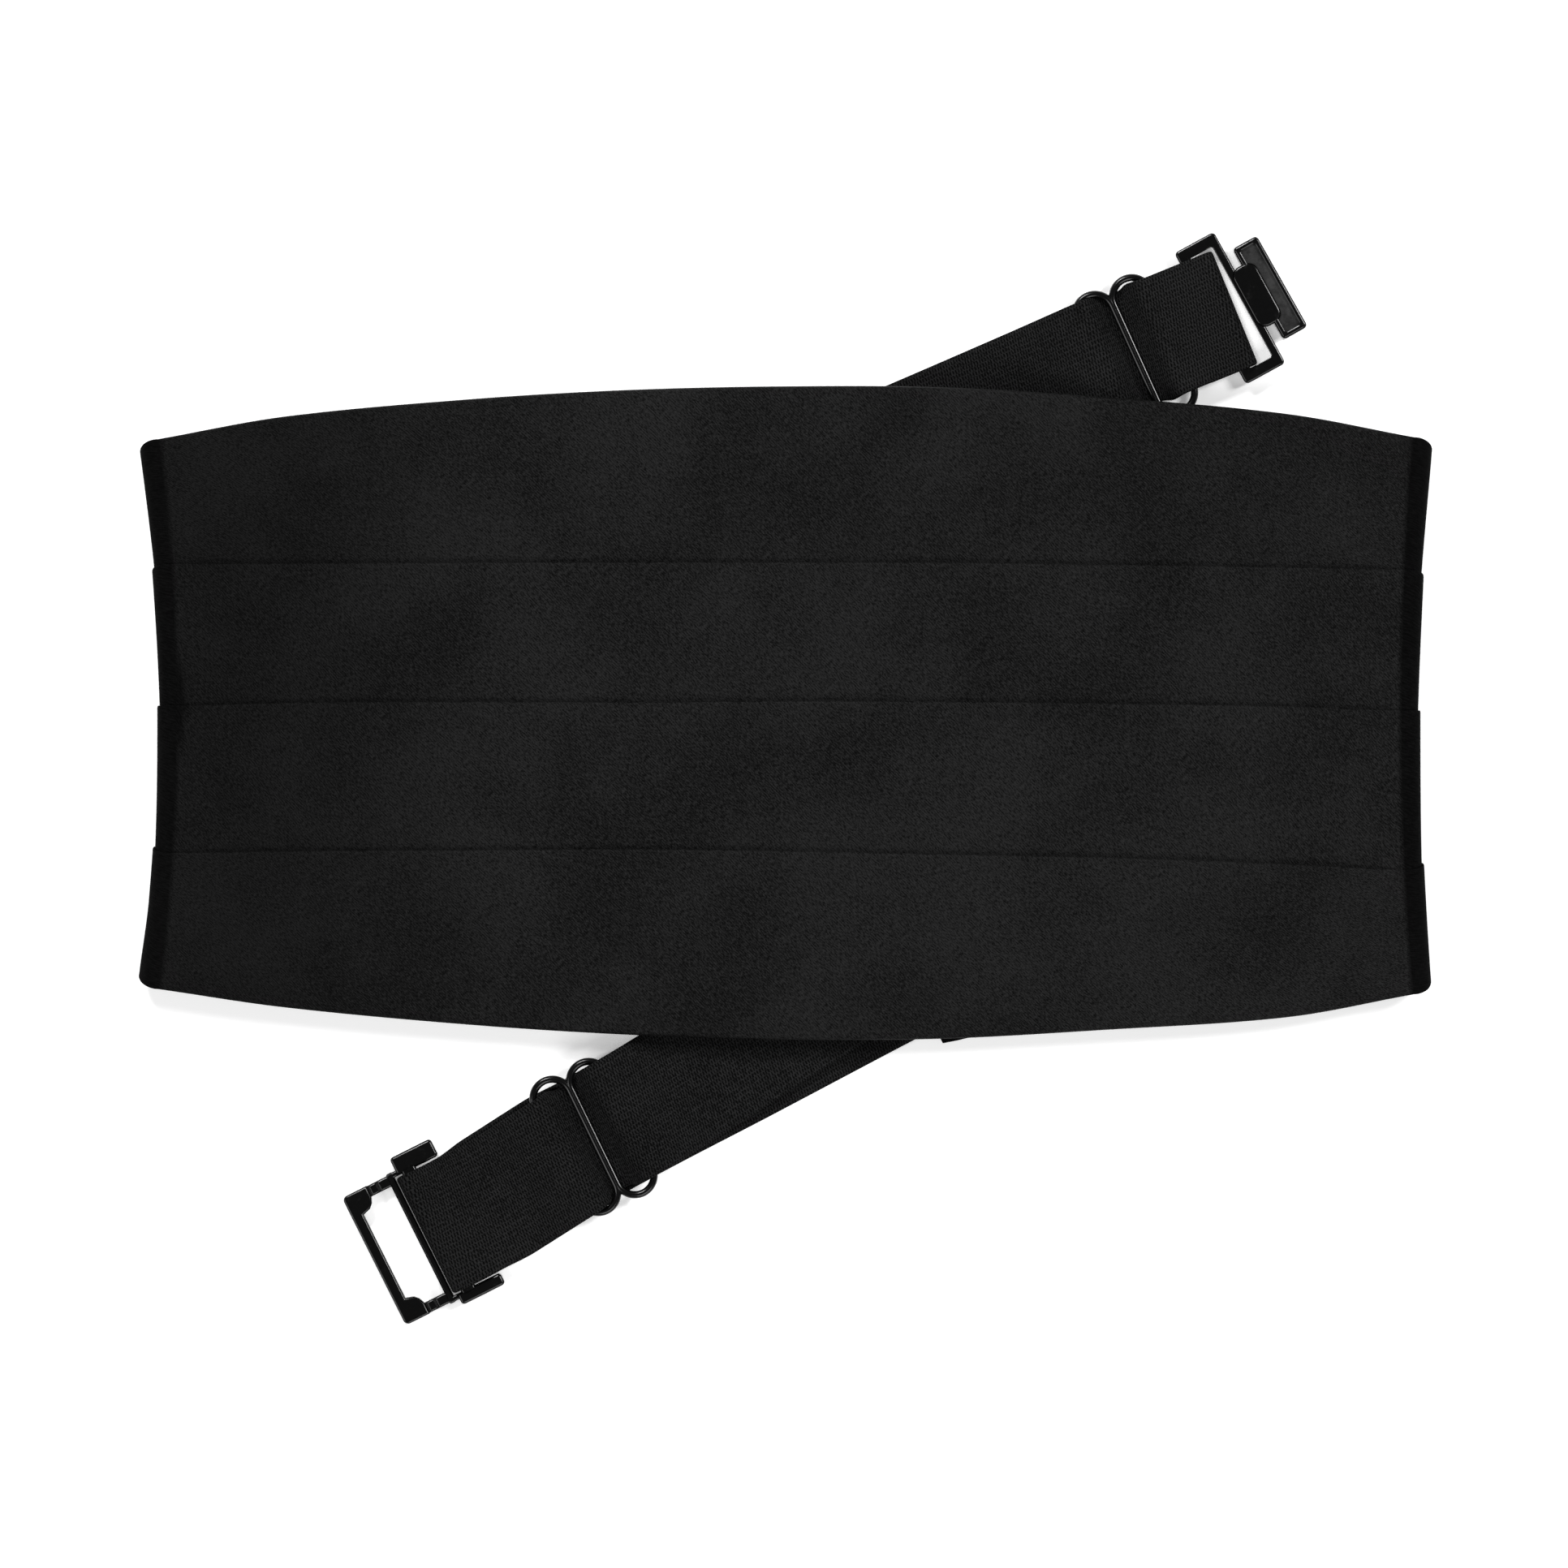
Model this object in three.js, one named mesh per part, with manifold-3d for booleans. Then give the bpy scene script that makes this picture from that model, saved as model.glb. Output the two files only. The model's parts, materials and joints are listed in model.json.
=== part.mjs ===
// A pleated satin cummerbund laid flat with its front up: the band with its ends folded behind
// it, two elastic straps, two wire sliders, an eye clasp and a hook clasp.
// Millimetres, +Z up, X along the band. The origin is on the surface, under the middle of the
// whole outline.

import * as THREE from "three";
import { mergeVertices } from "three/addons/utils/BufferGeometryUtils.js";
import Module from "manifold-3d";

const wasm = await Module();
wasm.setup();

const { lerp, degToRad, smoothstep } = THREE.MathUtils;

// Space left between two pieces that touch on the real thing
const clearance = 0.3;

// The band: front panel, rolled ends, tails
const rollAxisX = 121.45; // from the middle of the panel to the axis of a rolled end
const halfHeight = 63.2; // half of the panel's height at its middle
const clothThick = 2.5; // from the back to a pleat's folded edge
const flapThick = 1.0; // folded edge that lies over the strip above it
const pocketHeight = 0.3; // opening under a folded edge
const pocketDepth = 5; // how far a strip runs on under the next one
const hemThick = 1.9; // lower edge of the lowest strip
const foldRound = 0.6; // rounding of the folded edges, measured along the strip
const strips = 4;
const noseRound = 0.3; // rounding of a folded edge, as a share of its thickness
const stripBends = [0.33, 0.66]; // where a strip's slope changes, as shares of its height
const rollWaistLeft = 3.4; // how far the middle of the left rolled end pulls in
const rollWaistRight = 2.3;
const rollSplay = 0.45; // how far the left rolled end's lower corner stands out
const splayFrom = 0.7; // where that begins, as a share of half the height
const rollPress = 0.35; // share of a pleat's step that is left where the cloth is rolled
const pressReach = 7; // length of panel over which the pleats flatten towards a roll
const waistReach = 45; // length of panel over which that pull fades out
const rippleHeight = 0.3; // soft lift of the panel's upper edge near its ends
const rippleTurns = { left: 42, right: 38 }; // how closely the lifts follow one another
const rippleFade = { left: [-0.9, -0.45], right: [0.6, 0.9], end: 0.93, up: 0.9 }; // shares
const tailEndWidth = 31;
const tailEndThick = 1.6;
const tailSlack = 0.1; // spare height between the stacked straps and the panel
const tailThinning = { from: 0.98, to: 0.96 }; // shares of a tail, less three laps and one lap
const tailCurve = 0.42; // how far a tail's two ends keep their heading, as a share of its length

// The webbing
const webWidth = 25;
const webThick = 1.2;
const webPinch = 1.9; // narrowing of the webbing at a slider's middle bar
const lapLength = 12; // webbing sewn onto the end of a tail
const rampLength = 9.4; // run over which the webbing comes down from a tail
const foldHold = 5.4; // flat run of the upper ply over a clasp's crossbar
const threadFrom = 1; // run beside a slider's wires before the webbing rises or falls
const threadTop = 1.6; // the webbing is at its highest this far short of the outer bars
const threadRun = 8; // run over which it comes down past them
const stationReach = 18; // close steps this far to both sides of a slider
const stationStep = 1.5;
const stationGap = 0.45; // least distance between two steps

// Hook-side strap: lengths along the strap and headings from +X
const hookSliderRun = 70.4; // end of the tail to the middle of the slider
const hookSliderHeading = degToRad(23.4);
const hookFoldRun = 21.3; // middle of the slider to the fold at the clasp
const hookFoldHeading = degToRad(22.3);
const hookHem = 9.6; // turned-under end of the webbing
const hookPinch = 1.3; // narrowing of the webbing between the slider and the hook clasp
const hookHeldLead = 2; // run past the slider's bars before the webbing rises to the clasp
const hookHeldRun = 1.2; // run past the slider in which it takes the clasp's height
const hookSliderSlip = -0.9; // the slider sits this far off the middle of the webbing

// Eye-side strap: its two plies drift apart towards the tail
const eyeSliderRun = 68.3;
const eyeSliderHeading = degToRad(207.9);
const eyeFoldRun = 38;
const eyeFoldHeading = degToRad(210.5);
const eyeDrift = 4.4;
const eyePlySlip = 0.5; // sideways offset of each ply between the slider and the clasp
const eyeSlipFade = 7; // run before the clasp's ears over which that offset goes

// Where the tails end, as shares of the panel's half length and half height
const tailEnds = {
  left: { along: 0.022, up: 0.672 },
  right: { along: 0.19, up: -0.796 },
};

// Wire sliders
const wireRadius = 0.72;
const loopRadius = 3.74; // centreline of a loop's round end
const loopHalf = 10.2; // half of a loop's straight length
const loopOffset = 3.93; // from the slider's middle to a loop's middle
const eyeSliderTurn = degToRad(205.9);
const hookSliderTurn = degToRad(24.4);

// Crossbar that the webbing is looped round, in both clasps
const crossbarHeight = 1.6;
const crossbarRound = 0.98; // rounding of its long edges, as a share of half its height

// Eye clasp
const eyeTurn = degToRad(206.6);
const eyeWidth = 27.6;
const eyeInnerBar = 1.2;
const eyeHole = 7.2;
const eyeOuterBar = 2.1;
const eyeSideBar = 2.3;
const eyeHeight = 3.0;
const eyeSideHeight = 2.3;
const eyeBarHeight = 2.6; // bar next to the webbing
const eyeCorner = 1.0;
const eyePadReach = 5.0; // raised corner pad, along the clasp
const eyePadWidth = 4.8; // raised corner pad, across the clasp
const eyePadRound = 0.9; // fullness of the pad's rounded inner corner
const eyeEarLength = 9.4;
const eyeEarStart = 0.6; // from the webbing's fold to the near end of an ear
const eyeUpperEar = 3.7; // widths of the two ears beside the webbing
const eyeLowerEar = 2.4;
const eyeLink = 1.2; // width of the link from the inner bar to an ear
const eyeCrossbar = 3.0;

// Hook clasp
const hookTurn = degToRad(28.7);
const hookWidth = 28.4;
const hookArm = 2.0;
const hookOuterBar = 1.3;
const hookGap = 1.6; // from the middle of the webbing's fold to the outer bar
const hookDepth = 8.2; // whole length of the frame
const hookCrossbar = 2.1;
const hookFrameThick = 1.6;
const hookNeckWidth = 13.2;
const hookNeckReach = 0.45; // how far the neck runs over the head, as a share of its depth
const hookNotch = 2.1; // slot between the frame and the T-shaped head
const hookHeadLength = 19.6;
const hookHeadDepth = 5.0;
const hookHeadHeight = 3.4;
const hookRim = 0.9; // raised rim round the head's recess
const hookRecess = 0.5;
const recessRound = 0.1;
const edgeRound = 0.3; // moulded edges of both clasps
const barCorner = 0.4; // corners of both clasps, seen from above
const frameCorner = 0.8;
const earCorner = 0.7;
const neckCorner = 0.6;
const cutOver = 2; // a cutter stands this much proud of what it cuts
const seamStep = 0.1; // a bar sits this much inside the part that it runs into

// Levels of the panel's edges and of its three folded edges, as shares of the half height,
// at stations along the panel given as shares of rollAxisX.
const panelRows = [
  { at: -1.0, top: 0.836, first: 0.454, second: 0.021, third: -0.43, bottom: -0.848 },
  { at: -0.8, top: 0.905, first: 0.457, second: 0.03, third: -0.424, bottom: -0.904 },
  { at: -0.5, top: 0.959, first: 0.459, second: 0.033, third: -0.421, bottom: -0.958 },
  { at: -0.25, top: 0.987, first: 0.46, second: 0.031, third: -0.418, bottom: -0.988 },
  { at: 0.0, top: 0.998, first: 0.46, second: 0.035, third: -0.424, bottom: -1.003 },
  { at: 0.25, top: 0.995, first: 0.459, second: 0.033, third: -0.434, bottom: -1.0 },
  { at: 0.5, top: 0.966, first: 0.453, second: 0.028, third: -0.443, bottom: -0.974 },
  { at: 0.8, top: 0.913, first: 0.445, second: 0.019, third: -0.464, bottom: -0.934 },
  { at: 1.0, top: 0.842, first: 0.437, second: 0.006, third: -0.483, bottom: -0.864 },
];
const levels = ["bottom", "third", "second", "first", "top"];

// How a rolled end narrows from the panel to the tail, as shares of the panel's end
const rollNarrowing = { outermost: 0.962, tail: 0.93 };

const materials = {
  satin: { color: 0x1c1c1d, roughness: 0.5, metalness: 0 },
  webbing: { color: 0x1a1a1b, roughness: 0.85, metalness: 0 },
  wire: { color: 0x101011, roughness: 0.3, metalness: 0.6 },
  plastic: { color: 0x0c0c0d, roughness: 0.25, metalness: 0 },
};

// Heights that follow from the stack of tail, webbing and panel
const plyPitch = webThick + clearance;
const panelUnderside = tailEndThick + 2 * plyPitch + clearance + tailSlack;
const rollInner = (panelUnderside - clothThick) / 2;
const rollCentreZ = clothThick + rollInner;
const floorPly = webThick / 2;
const tailPly = tailEndThick + clearance + floorPly;
const crossbarBottom = webThick + clearance;
const loopPly = crossbarBottom + crossbarHeight + clearance + floorPly;
const turnRadius = (loopPly - floorPly) / 2;
const turnReach = turnRadius + floorPly; // from a fold's centre to its outermost point
const sliderReach = loopOffset + loopRadius; // from a slider's middle to its outer bars

function positionsOnly(geometry) {
  geometry.deleteAttribute("normal");
  geometry.deleteAttribute("uv");
  return mergeVertices(geometry, 1e-4);
}

function toSolid(geometry) {
  const merged = positionsOnly(geometry.clone());
  return new wasm.Manifold(
    new wasm.Mesh({
      numProp: 3,
      vertProperties: merged.attributes.position.array,
      triVerts: new Uint32Array(merged.index.array),
    }),
  );
}

function toGeometry(manifold) {
  const mesh = manifold.getMesh();
  const geometry = new THREE.BufferGeometry();
  geometry.setAttribute("position", new THREE.BufferAttribute(mesh.vertProperties, 3));
  geometry.setIndex(new THREE.BufferAttribute(mesh.triVerts, 1));
  return geometry;
}

function join(geometries) {
  return toGeometry(geometries.map(toSolid).reduce((whole, piece) => whole.add(piece)));
}

function cut(geometry, cutter) {
  return toGeometry(toSolid(geometry).subtract(toSolid(cutter)));
}

// Extrudes a section through as many steps as there are stations, then carries each point to
// its station: place(across, depth, station) returns the point in space.
function sweep(section, stations, place) {
  const steps = stations.length - 1;
  const geometry = positionsOnly(
    new THREE.ExtrudeGeometry(section, { depth: steps, steps, bevelEnabled: false }),
  );
  const position = geometry.attributes.position;
  for (let i = 0; i < position.count; i++) {
    const station = stations[Math.round(position.getZ(i))];
    const point = place(position.getX(i), position.getY(i), station);
    position.setXYZ(i, point.x, point.y, point.z);
  }
  return geometry;
}

function mesh(name, geometry, material) {
  geometry.computeVertexNormals();
  const piece = new THREE.Mesh(geometry, new THREE.MeshStandardMaterial(material));
  piece.name = name;
  return piece;
}

function heading(angle) {
  return new THREE.Vector3(Math.cos(angle), Math.sin(angle), 0);
}

// Value of one column of a table at a place along it, on a smooth curve through the rows
function readRows(rows, column, at) {
  const last = rows.length - 2;
  const found = rows.findIndex((row, i) => i <= last && at <= rows[i + 1].at);
  const i = found < 0 ? last : found;
  const [a, b] = [rows[i], rows[i + 1]];
  const before = rows[Math.max(i - 1, 0)];
  const after = rows[Math.min(i + 2, rows.length - 1)];
  const span = b.at - a.at;
  const t = (at - a.at) / span;
  const slopeA = ((b[column] - before[column]) / (b.at - before.at)) * span;
  const slopeB = ((after[column] - a[column]) / (after.at - a.at)) * span;
  const t2 = t * t;
  const t3 = t2 * t;
  return (
    (2 * t3 - 3 * t2 + 1) * a[column] +
    (t3 - 2 * t2 + t) * slopeA +
    (3 * t2 - 2 * t3) * b[column] +
    (t3 - t2) * slopeB
  );
}

// The band's section. Across runs from -2 at the lower edge to +2 at the upper edge, one unit
// to a strip, and depth runs from the back to the face.
function bandSection() {
  const strip = (2 * halfHeight) / strips;
  const round = foldRound / strip;
  const pocket = pocketDepth / strip;
  const floor = clothThick - flapThick - pocketHeight;
  const end = strips / 2;
  const shape = new THREE.Shape();
  shape.moveTo(round - end, 0);
  for (let fold = 1 - end; fold < end; fold++) shape.lineTo(fold, 0);
  shape.lineTo(end - round, 0);
  shape.lineTo(end, clothThick * noseRound);
  shape.lineTo(end, clothThick * (1 - noseRound));
  for (let edge = end; edge > -end; edge--) {
    const lowest = edge === 1 - end;
    const low = lowest ? hemThick : floor;
    shape.lineTo(edge - round, clothThick);
    for (const part of stripBends) {
      const fall = Math.cos((part * Math.PI) / 2);
      shape.lineTo(edge - part, lerp(low, clothThick, fall));
    }
    if (lowest) break;
    shape.lineTo(edge - 1, floor);
    shape.lineTo(edge - 1 - pocket, floor);
    shape.lineTo(edge - 1 - pocket, floor + pocketHeight);
    shape.lineTo(edge - 1 - round, floor + pocketHeight);
    shape.lineTo(edge - 1, floor + pocketHeight + flapThick * noseRound);
    shape.lineTo(edge - 1, clothThick - flapThick * noseRound);
  }
  shape.lineTo(round - end, hemThick);
  shape.lineTo(-end, hemThick * (1 - noseRound));
  shape.lineTo(-end, hemThick * noseRound);
  shape.closePath();
  return shape;
}

// Soft lifts along the panel's upper edge, near its two ends
function ripple(x, across) {
  const along = x / rollAxisX;
  const left = Math.sin(along * rippleTurns.left) ** 2 * (1 - smoothstep(along, ...rippleFade.left));
  const right = Math.sin(along * rippleTurns.right) ** 2 * smoothstep(along, ...rippleFade.right);
  const ends = 1 - smoothstep(Math.abs(along), rippleFade.end, 1);
  return rippleHeight * (left + right) * ends * smoothstep(across, rippleFade.up, strips / 2);
}

// Stations of one tail, from the rolled end to the end that is sewn to its strap
function tailStations(side, end, endHeading, row) {
  const start = new THREE.Vector3(side * rollAxisX, 0, 0);
  const reach = start.distanceTo(end) * tailCurve;
  const route = new THREE.CubicBezierCurve3(
    start,
    start.clone().add(new THREE.Vector3(-side * reach, 0, 0)),
    end.clone().addScaledVector(endHeading, -reach),
    end,
  );
  const endScale = tailEndWidth / (row.top - row.bottom);
  const lapShare = lapLength / route.getLength();
  const count = 14;
  return Array.from({ length: count }, (_, i) => {
    const share = (i + 1) / count;
    const ahead = route.getTangentAt(share);
    const { from, to } = tailThinning;
    const thin = smoothstep(share, from - 3 * lapShare, to - lapShare);
    const thick = lerp(clothThick, tailEndThick, thin);
    return {
      centre: route.getPointAt(share).setZ(thick),
      across: new THREE.Vector3(side * ahead.y, -side * ahead.x, 0),
      face: new THREE.Vector3(0, 0, -1),
      thin: thick / clothThick,
      levels: levels.map((name) => row[name] * lerp(rollNarrowing.tail, endScale, share)),
      waist: ahead.multiplyScalar(waistOf(side, share * route.getLength())),
      press: rollPress,
    };
  });
}

function waistOf(side, distance) {
  const pull = side < 0 ? rollWaistLeft : rollWaistRight;
  return pull * (1 - smoothstep(distance, 0, waistReach));
}

function panelRow(at) {
  const row = {};
  for (const name of levels) row[name] = readRows(panelRows, name, at) * halfHeight;
  return row;
}

// Stations round one rolled end, from the panel to the tail
function rollStations(side, row) {
  const count = 8;
  return Array.from({ length: count + 1 }, (_, i) => {
    const angle = (Math.PI * i) / count;
    const face = new THREE.Vector3(side * Math.sin(angle), 0, Math.cos(angle));
    const early = Math.sin(Math.min(angle, Math.PI / 2) / 2) ** 2 * 2;
    const late = Math.max(angle / (Math.PI / 2) - 1, 0);
    const narrow = lerp(lerp(1, rollNarrowing.outermost, early), rollNarrowing.tail, late);
    return {
      centre: new THREE.Vector3(side * rollAxisX, 0, rollCentreZ).addScaledVector(
        face,
        rollInner,
      ),
      across: new THREE.Vector3(0, 1, 0),
      face,
      thin: 1,
      levels: levels.map((name) => row[name] * narrow),
      waist: new THREE.Vector3(-side * waistOf(side, 0), 0, 0),
      splay: side < 0 ? rollSplay * (1 - late) * early : 0,
      press: rollPress,
    };
  });
}

function panelStations() {
  const inner = 25;
  return Array.from({ length: inner }, (_, i) => {
    const at = -1 + (2 * (i + 1)) / (inner + 1);
    const x = at * rollAxisX;
    const row = panelRow(at);
    const left = waistOf(-1, rollAxisX + x);
    const right = waistOf(1, rollAxisX - x);
    return {
      centre: new THREE.Vector3(x, 0, panelUnderside),
      across: new THREE.Vector3(0, 1, 0),
      face: new THREE.Vector3(0, 0, 1),
      thin: 1,
      levels: levels.map((name) => row[name]),
      waist: new THREE.Vector3(left - right, 0, 0),
      press: lerp(1, rollPress, smoothstep(Math.abs(x), rollAxisX - pressReach, rollAxisX)),
      onPanel: true,
    };
  });
}

// Depth in the band's section where its pleats are pressed flatter, down to a share of a step
function pressed(depth, press) {
  const floor = clothThick - flapThick - pocketHeight;
  const raised = lerp(clothThick, floor, press);
  if (depth > floor) return lerp(raised, clothThick, (depth - floor) / (clothThick - floor));
  return (depth / floor) * raised;
}

function bandPoint(across, depth, station) {
  const strip = Math.min(Math.floor(across + strips / 2), strips - 1);
  const part = across + strips / 2 - strip;
  const offset = lerp(station.levels[strip], station.levels[strip + 1], part);
  const [lowest, highest] = [station.levels[0], station.levels[strips]];
  const share = (2 * offset - highest - lowest) / (highest - lowest);
  const point = station.centre.clone().addScaledVector(station.across, offset);
  point.addScaledVector(station.face, pressed(depth, station.press) * station.thin);
  point.addScaledVector(station.waist, 1 - share * share);
  if (station.splay) point.x -= station.splay * smoothstep(-share, splayFrom, 1);
  if (station.onPanel) point.z += ripple(station.centre.x, across);
  return point;
}

function pleatedBand(leftEnd, rightEnd) {
  const leftRow = panelRow(-1);
  const rightRow = panelRow(1);
  const stations = [
    ...tailStations(-1, leftEnd.point, leftEnd.heading, leftRow).reverse(),
    ...rollStations(-1, leftRow).reverse(),
    ...panelStations(),
    ...rollStations(1, rightRow),
    ...tailStations(1, rightEnd.point, rightEnd.heading, rightRow),
  ];
  return mesh("pleated_band", sweep(bandSection(), stations, bandPoint), materials.satin);
}

// The plan of a strap, from the end of its tail past its slider to the fold at its clasp
function strapPlan(tailEnd, sliderRun, sliderHeading, foldRun, foldHeading, endHeading) {
  const slider = tailEnd.clone().addScaledVector(heading(sliderHeading), sliderRun);
  const fold = slider.clone().addScaledVector(heading(foldHeading), foldRun);
  const straight = fold.clone().addScaledVector(heading(endHeading), -foldRun / 4);
  const route = new THREE.CatmullRomCurve3([
    tailEnd.clone().addScaledVector(heading(sliderHeading), -lapLength),
    tailEnd,
    tailEnd.clone().lerp(slider, 0.5),
    slider,
    straight,
    fold,
  ]);
  route.arcLengthDivisions = 400;
  const length = route.getLength();
  return {
    slider,
    fold,
    length,
    sliderAt: length - foldRun,
    tailHeading: heading(sliderHeading),
    at(distance) {
      const share = THREE.MathUtils.clamp(distance / length, 0, 1);
      const ahead = route.getTangentAt(share).normalize();
      const point = route.getPointAt(share);
      point.addScaledVector(ahead, distance - share * length);
      return { point, ahead, left: new THREE.Vector3(-ahead.y, ahead.x, 0) };
    },
  };
}

// Distances along a strap at which it gets a station: close where it bends, far apart elsewhere
function strapDistances(plan, from, to) {
  const bends = [];
  for (let d = -stationReach; d <= stationReach; d += stationStep) bends.push(plan.sliderAt + d);
  for (let d = 0; d <= 1; d += 0.25) bends.push(lapLength + clearance + d * rampLength);
  for (let d = 0; d <= 1; d += 0.25) bends.push(plan.length - turnReach - foldHold * (1 + d));
  for (let share = 0.1; share < 0.9; share += 0.1) bends.push(plan.length * share);
  const kept = bends.filter((d) => d > from + stationGap && d < to - stationGap).sort((a, b) => a - b);
  const spaced = kept.filter((d, i) => i === 0 || d - kept[i - 1] > stationGap);
  return [from, ...spaced, to];
}

// Height of a ply that comes down from the tail
function rampHeight(distance, low) {
  const down = smoothstep(distance, lapLength + clearance, lapLength + clearance + rampLength);
  return low + (tailPly - floorPly) * (1 - down);
}

// Height of a ply threaded under a slider's middle bar and over its two outer bars
function sliderLift(distance, plan, rest, bar) {
  const away = Math.abs(distance - plan.sliderAt);
  const up = smoothstep(away, wireRadius + threadFrom, sliderReach - threadTop);
  const down = 1 - smoothstep(away, sliderReach + threadFrom, sliderReach + threadRun);
  const over = bar + wireRadius + clearance + floorPly;
  return (over - rest) * Math.min(up, down);
}

function pinch(distance, plan) {
  const away = Math.abs(distance - plan.sliderAt);
  return webPinch * (1 - smoothstep(away, 2 * wireRadius, sliderReach));
}

// Turns the webbing's route (points with their sideways direction and width) into stations
function webStations(marks) {
  return marks.map((mark, i) => {
    const before = marks[Math.max(i - 1, 0)].point;
    const after = marks[Math.min(i + 1, marks.length - 1)].point;
    const along = after.clone().sub(before).normalize();
    const across = mark.left.clone();
    const up = along.clone().cross(across).normalize();
    return { centre: mark.point, across, up, width: mark.width };
  });
}

function webSection() {
  const shape = new THREE.Shape();
  const edge = webThick / webWidth / 2;
  shape.moveTo(-0.5, -webThick * 0.25);
  shape.lineTo(-0.5 + edge, -webThick * 0.5);
  shape.lineTo(0.5 - edge, -webThick * 0.5);
  shape.lineTo(0.5, -webThick * 0.25);
  shape.lineTo(0.5, webThick * 0.25);
  shape.lineTo(0.5 - edge, webThick * 0.5);
  shape.lineTo(-0.5 + edge, webThick * 0.5);
  shape.lineTo(-0.5, webThick * 0.25);
  shape.closePath();
  return shape;
}

function webPoint(across, depth, station) {
  return station.centre
    .clone()
    .addScaledVector(station.across, across * station.width)
    .addScaledVector(station.up, depth);
}

// The half turn round a clasp's crossbar, from one ply to the other
function turnMarks(plan, upward, width) {
  const end = plan.at(plan.length);
  const steps = 8;
  return Array.from({ length: steps - 1 }, (_, i) => {
    const angle = (Math.PI * (i + 1)) / steps;
    const rise = (upward ? -1 : 1) * Math.cos(angle) * turnRadius;
    const point = end.point.clone();
    point.addScaledVector(end.ahead, Math.sin(angle) * turnRadius - turnReach);
    point.z = floorPly + turnRadius + rise;
    return { point, left: end.left, width };
  });
}

function strapMark(plan, distance, height, width, sideways = 0) {
  const { point, left } = plan.at(distance);
  point.addScaledVector(left, sideways);
  point.z = height;
  return { point, left, width };
}

// Two full plies: out along the surface, round the crossbar, back through the slider
function eyeStrap(plan) {
  const turnAt = plan.length - turnReach;
  const topRest = floorPly + plyPitch;
  const bar = topRest + floorPly + clearance + wireRadius;
  const distances = strapDistances(plan, 0, turnAt);
  const ears = plan.length - eyeEarLength;
  const slip = (d) => {
    const begin = smoothstep(d, plan.sliderAt, plan.sliderAt + sliderReach);
    return eyePlySlip * begin * (1 - smoothstep(d, ears - eyeSlipFade, ears));
  };
  const under = distances.map((d) => {
    return strapMark(plan, d, rampHeight(d, floorPly), webWidth, -slip(d));
  });
  const top = distances.map((d) => {
    const drift = eyeDrift * (1 - smoothstep(d, lapLength, plan.sliderAt));
    const hold = smoothstep(d, turnAt - 2 * foldHold, turnAt - foldHold / 2);
    const lift = sliderLift(d, plan, topRest, bar) + (loopPly - topRest) * hold;
    const sideways = slip(d) - drift;
    return strapMark(plan, d, rampHeight(d, topRest) + lift, webWidth - pinch(d, plan), sideways);
  });
  const marks = [...under, ...turnMarks(plan, true, webWidth), ...top.reverse()];
  const geometry = sweep(webSection(), webStations(marks), webPoint);
  return { piece: mesh("strap_eye_side", geometry, materials.webbing), bar };
}

// One ply from the tail through the slider, round the crossbar, with a short hem under it
function hookStrap(plan) {
  const turnAt = plan.length - turnReach;
  const bar = webThick + clearance + wireRadius;
  const outer = plan.sliderAt + sliderReach;
  const clasp = (d) => webWidth - hookPinch * smoothstep(d, plan.sliderAt, outer);
  const top = strapDistances(plan, 0, turnAt).map((d) => {
    const threaded = sliderLift(d, plan, floorPly, bar);
    const held = (loopPly - floorPly) * smoothstep(
      d,
      plan.sliderAt + hookHeldLead,
      outer - hookHeldLead,
    );
    const past = smoothstep(d, outer, outer + hookHeldRun);
    const lift = d > plan.sliderAt ? lerp(threaded, held, past) : threaded;
    return strapMark(plan, d, rampHeight(d, floorPly) + lift, clasp(d) - pinch(d, plan));
  });
  const hem = [0, 0.5, 1].map((share) => {
    const d = turnAt - share * (hookHem - turnReach);
    return strapMark(plan, d, floorPly, clasp(d));
  });
  const marks = [...top, ...turnMarks(plan, false, clasp(turnAt)), ...hem];
  const geometry = sweep(webSection(), webStations(marks), webPoint);
  return { piece: mesh("strap_hook_side", geometry, materials.webbing), bar };
}

// One closed wire loop with straight sides, stretched from a ring, lying across the strap
function wireLoop(offset) {
  const endSteps = 8;
  const steps = 2 * endSteps + 2;
  const geometry = positionsOnly(new THREE.TorusGeometry(loopRadius, wireRadius, 8, steps));
  const position = geometry.attributes.position;
  for (let i = 0; i < position.count; i++) {
    const [x, y] = [position.getX(i), position.getY(i)];
    const radius = Math.hypot(x, y);
    const turn = (Math.atan2(y, x) + 2 * Math.PI) % (2 * Math.PI);
    const index = Math.round((turn * steps) / (2 * Math.PI)) % steps;
    const far = index > endSteps;
    const angle = (Math.PI * (index - (far ? 1 : 0))) / endSteps;
    const side = far ? -loopHalf : loopHalf;
    position.setX(i, radius * Math.cos(angle) + offset);
    position.setY(i, radius * Math.sin(angle) + side);
  }
  return geometry;
}

function slider(name, centre, height, turn, slip) {
  const piece = mesh(name, join([wireLoop(-loopOffset), wireLoop(loopOffset)]), materials.wire);
  const place = heading(turn + Math.PI / 2).multiplyScalar(slip).add(centre);
  piece.position.set(place.x, place.y, height);
  piece.rotation.z = turn;
  return piece;
}

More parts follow.
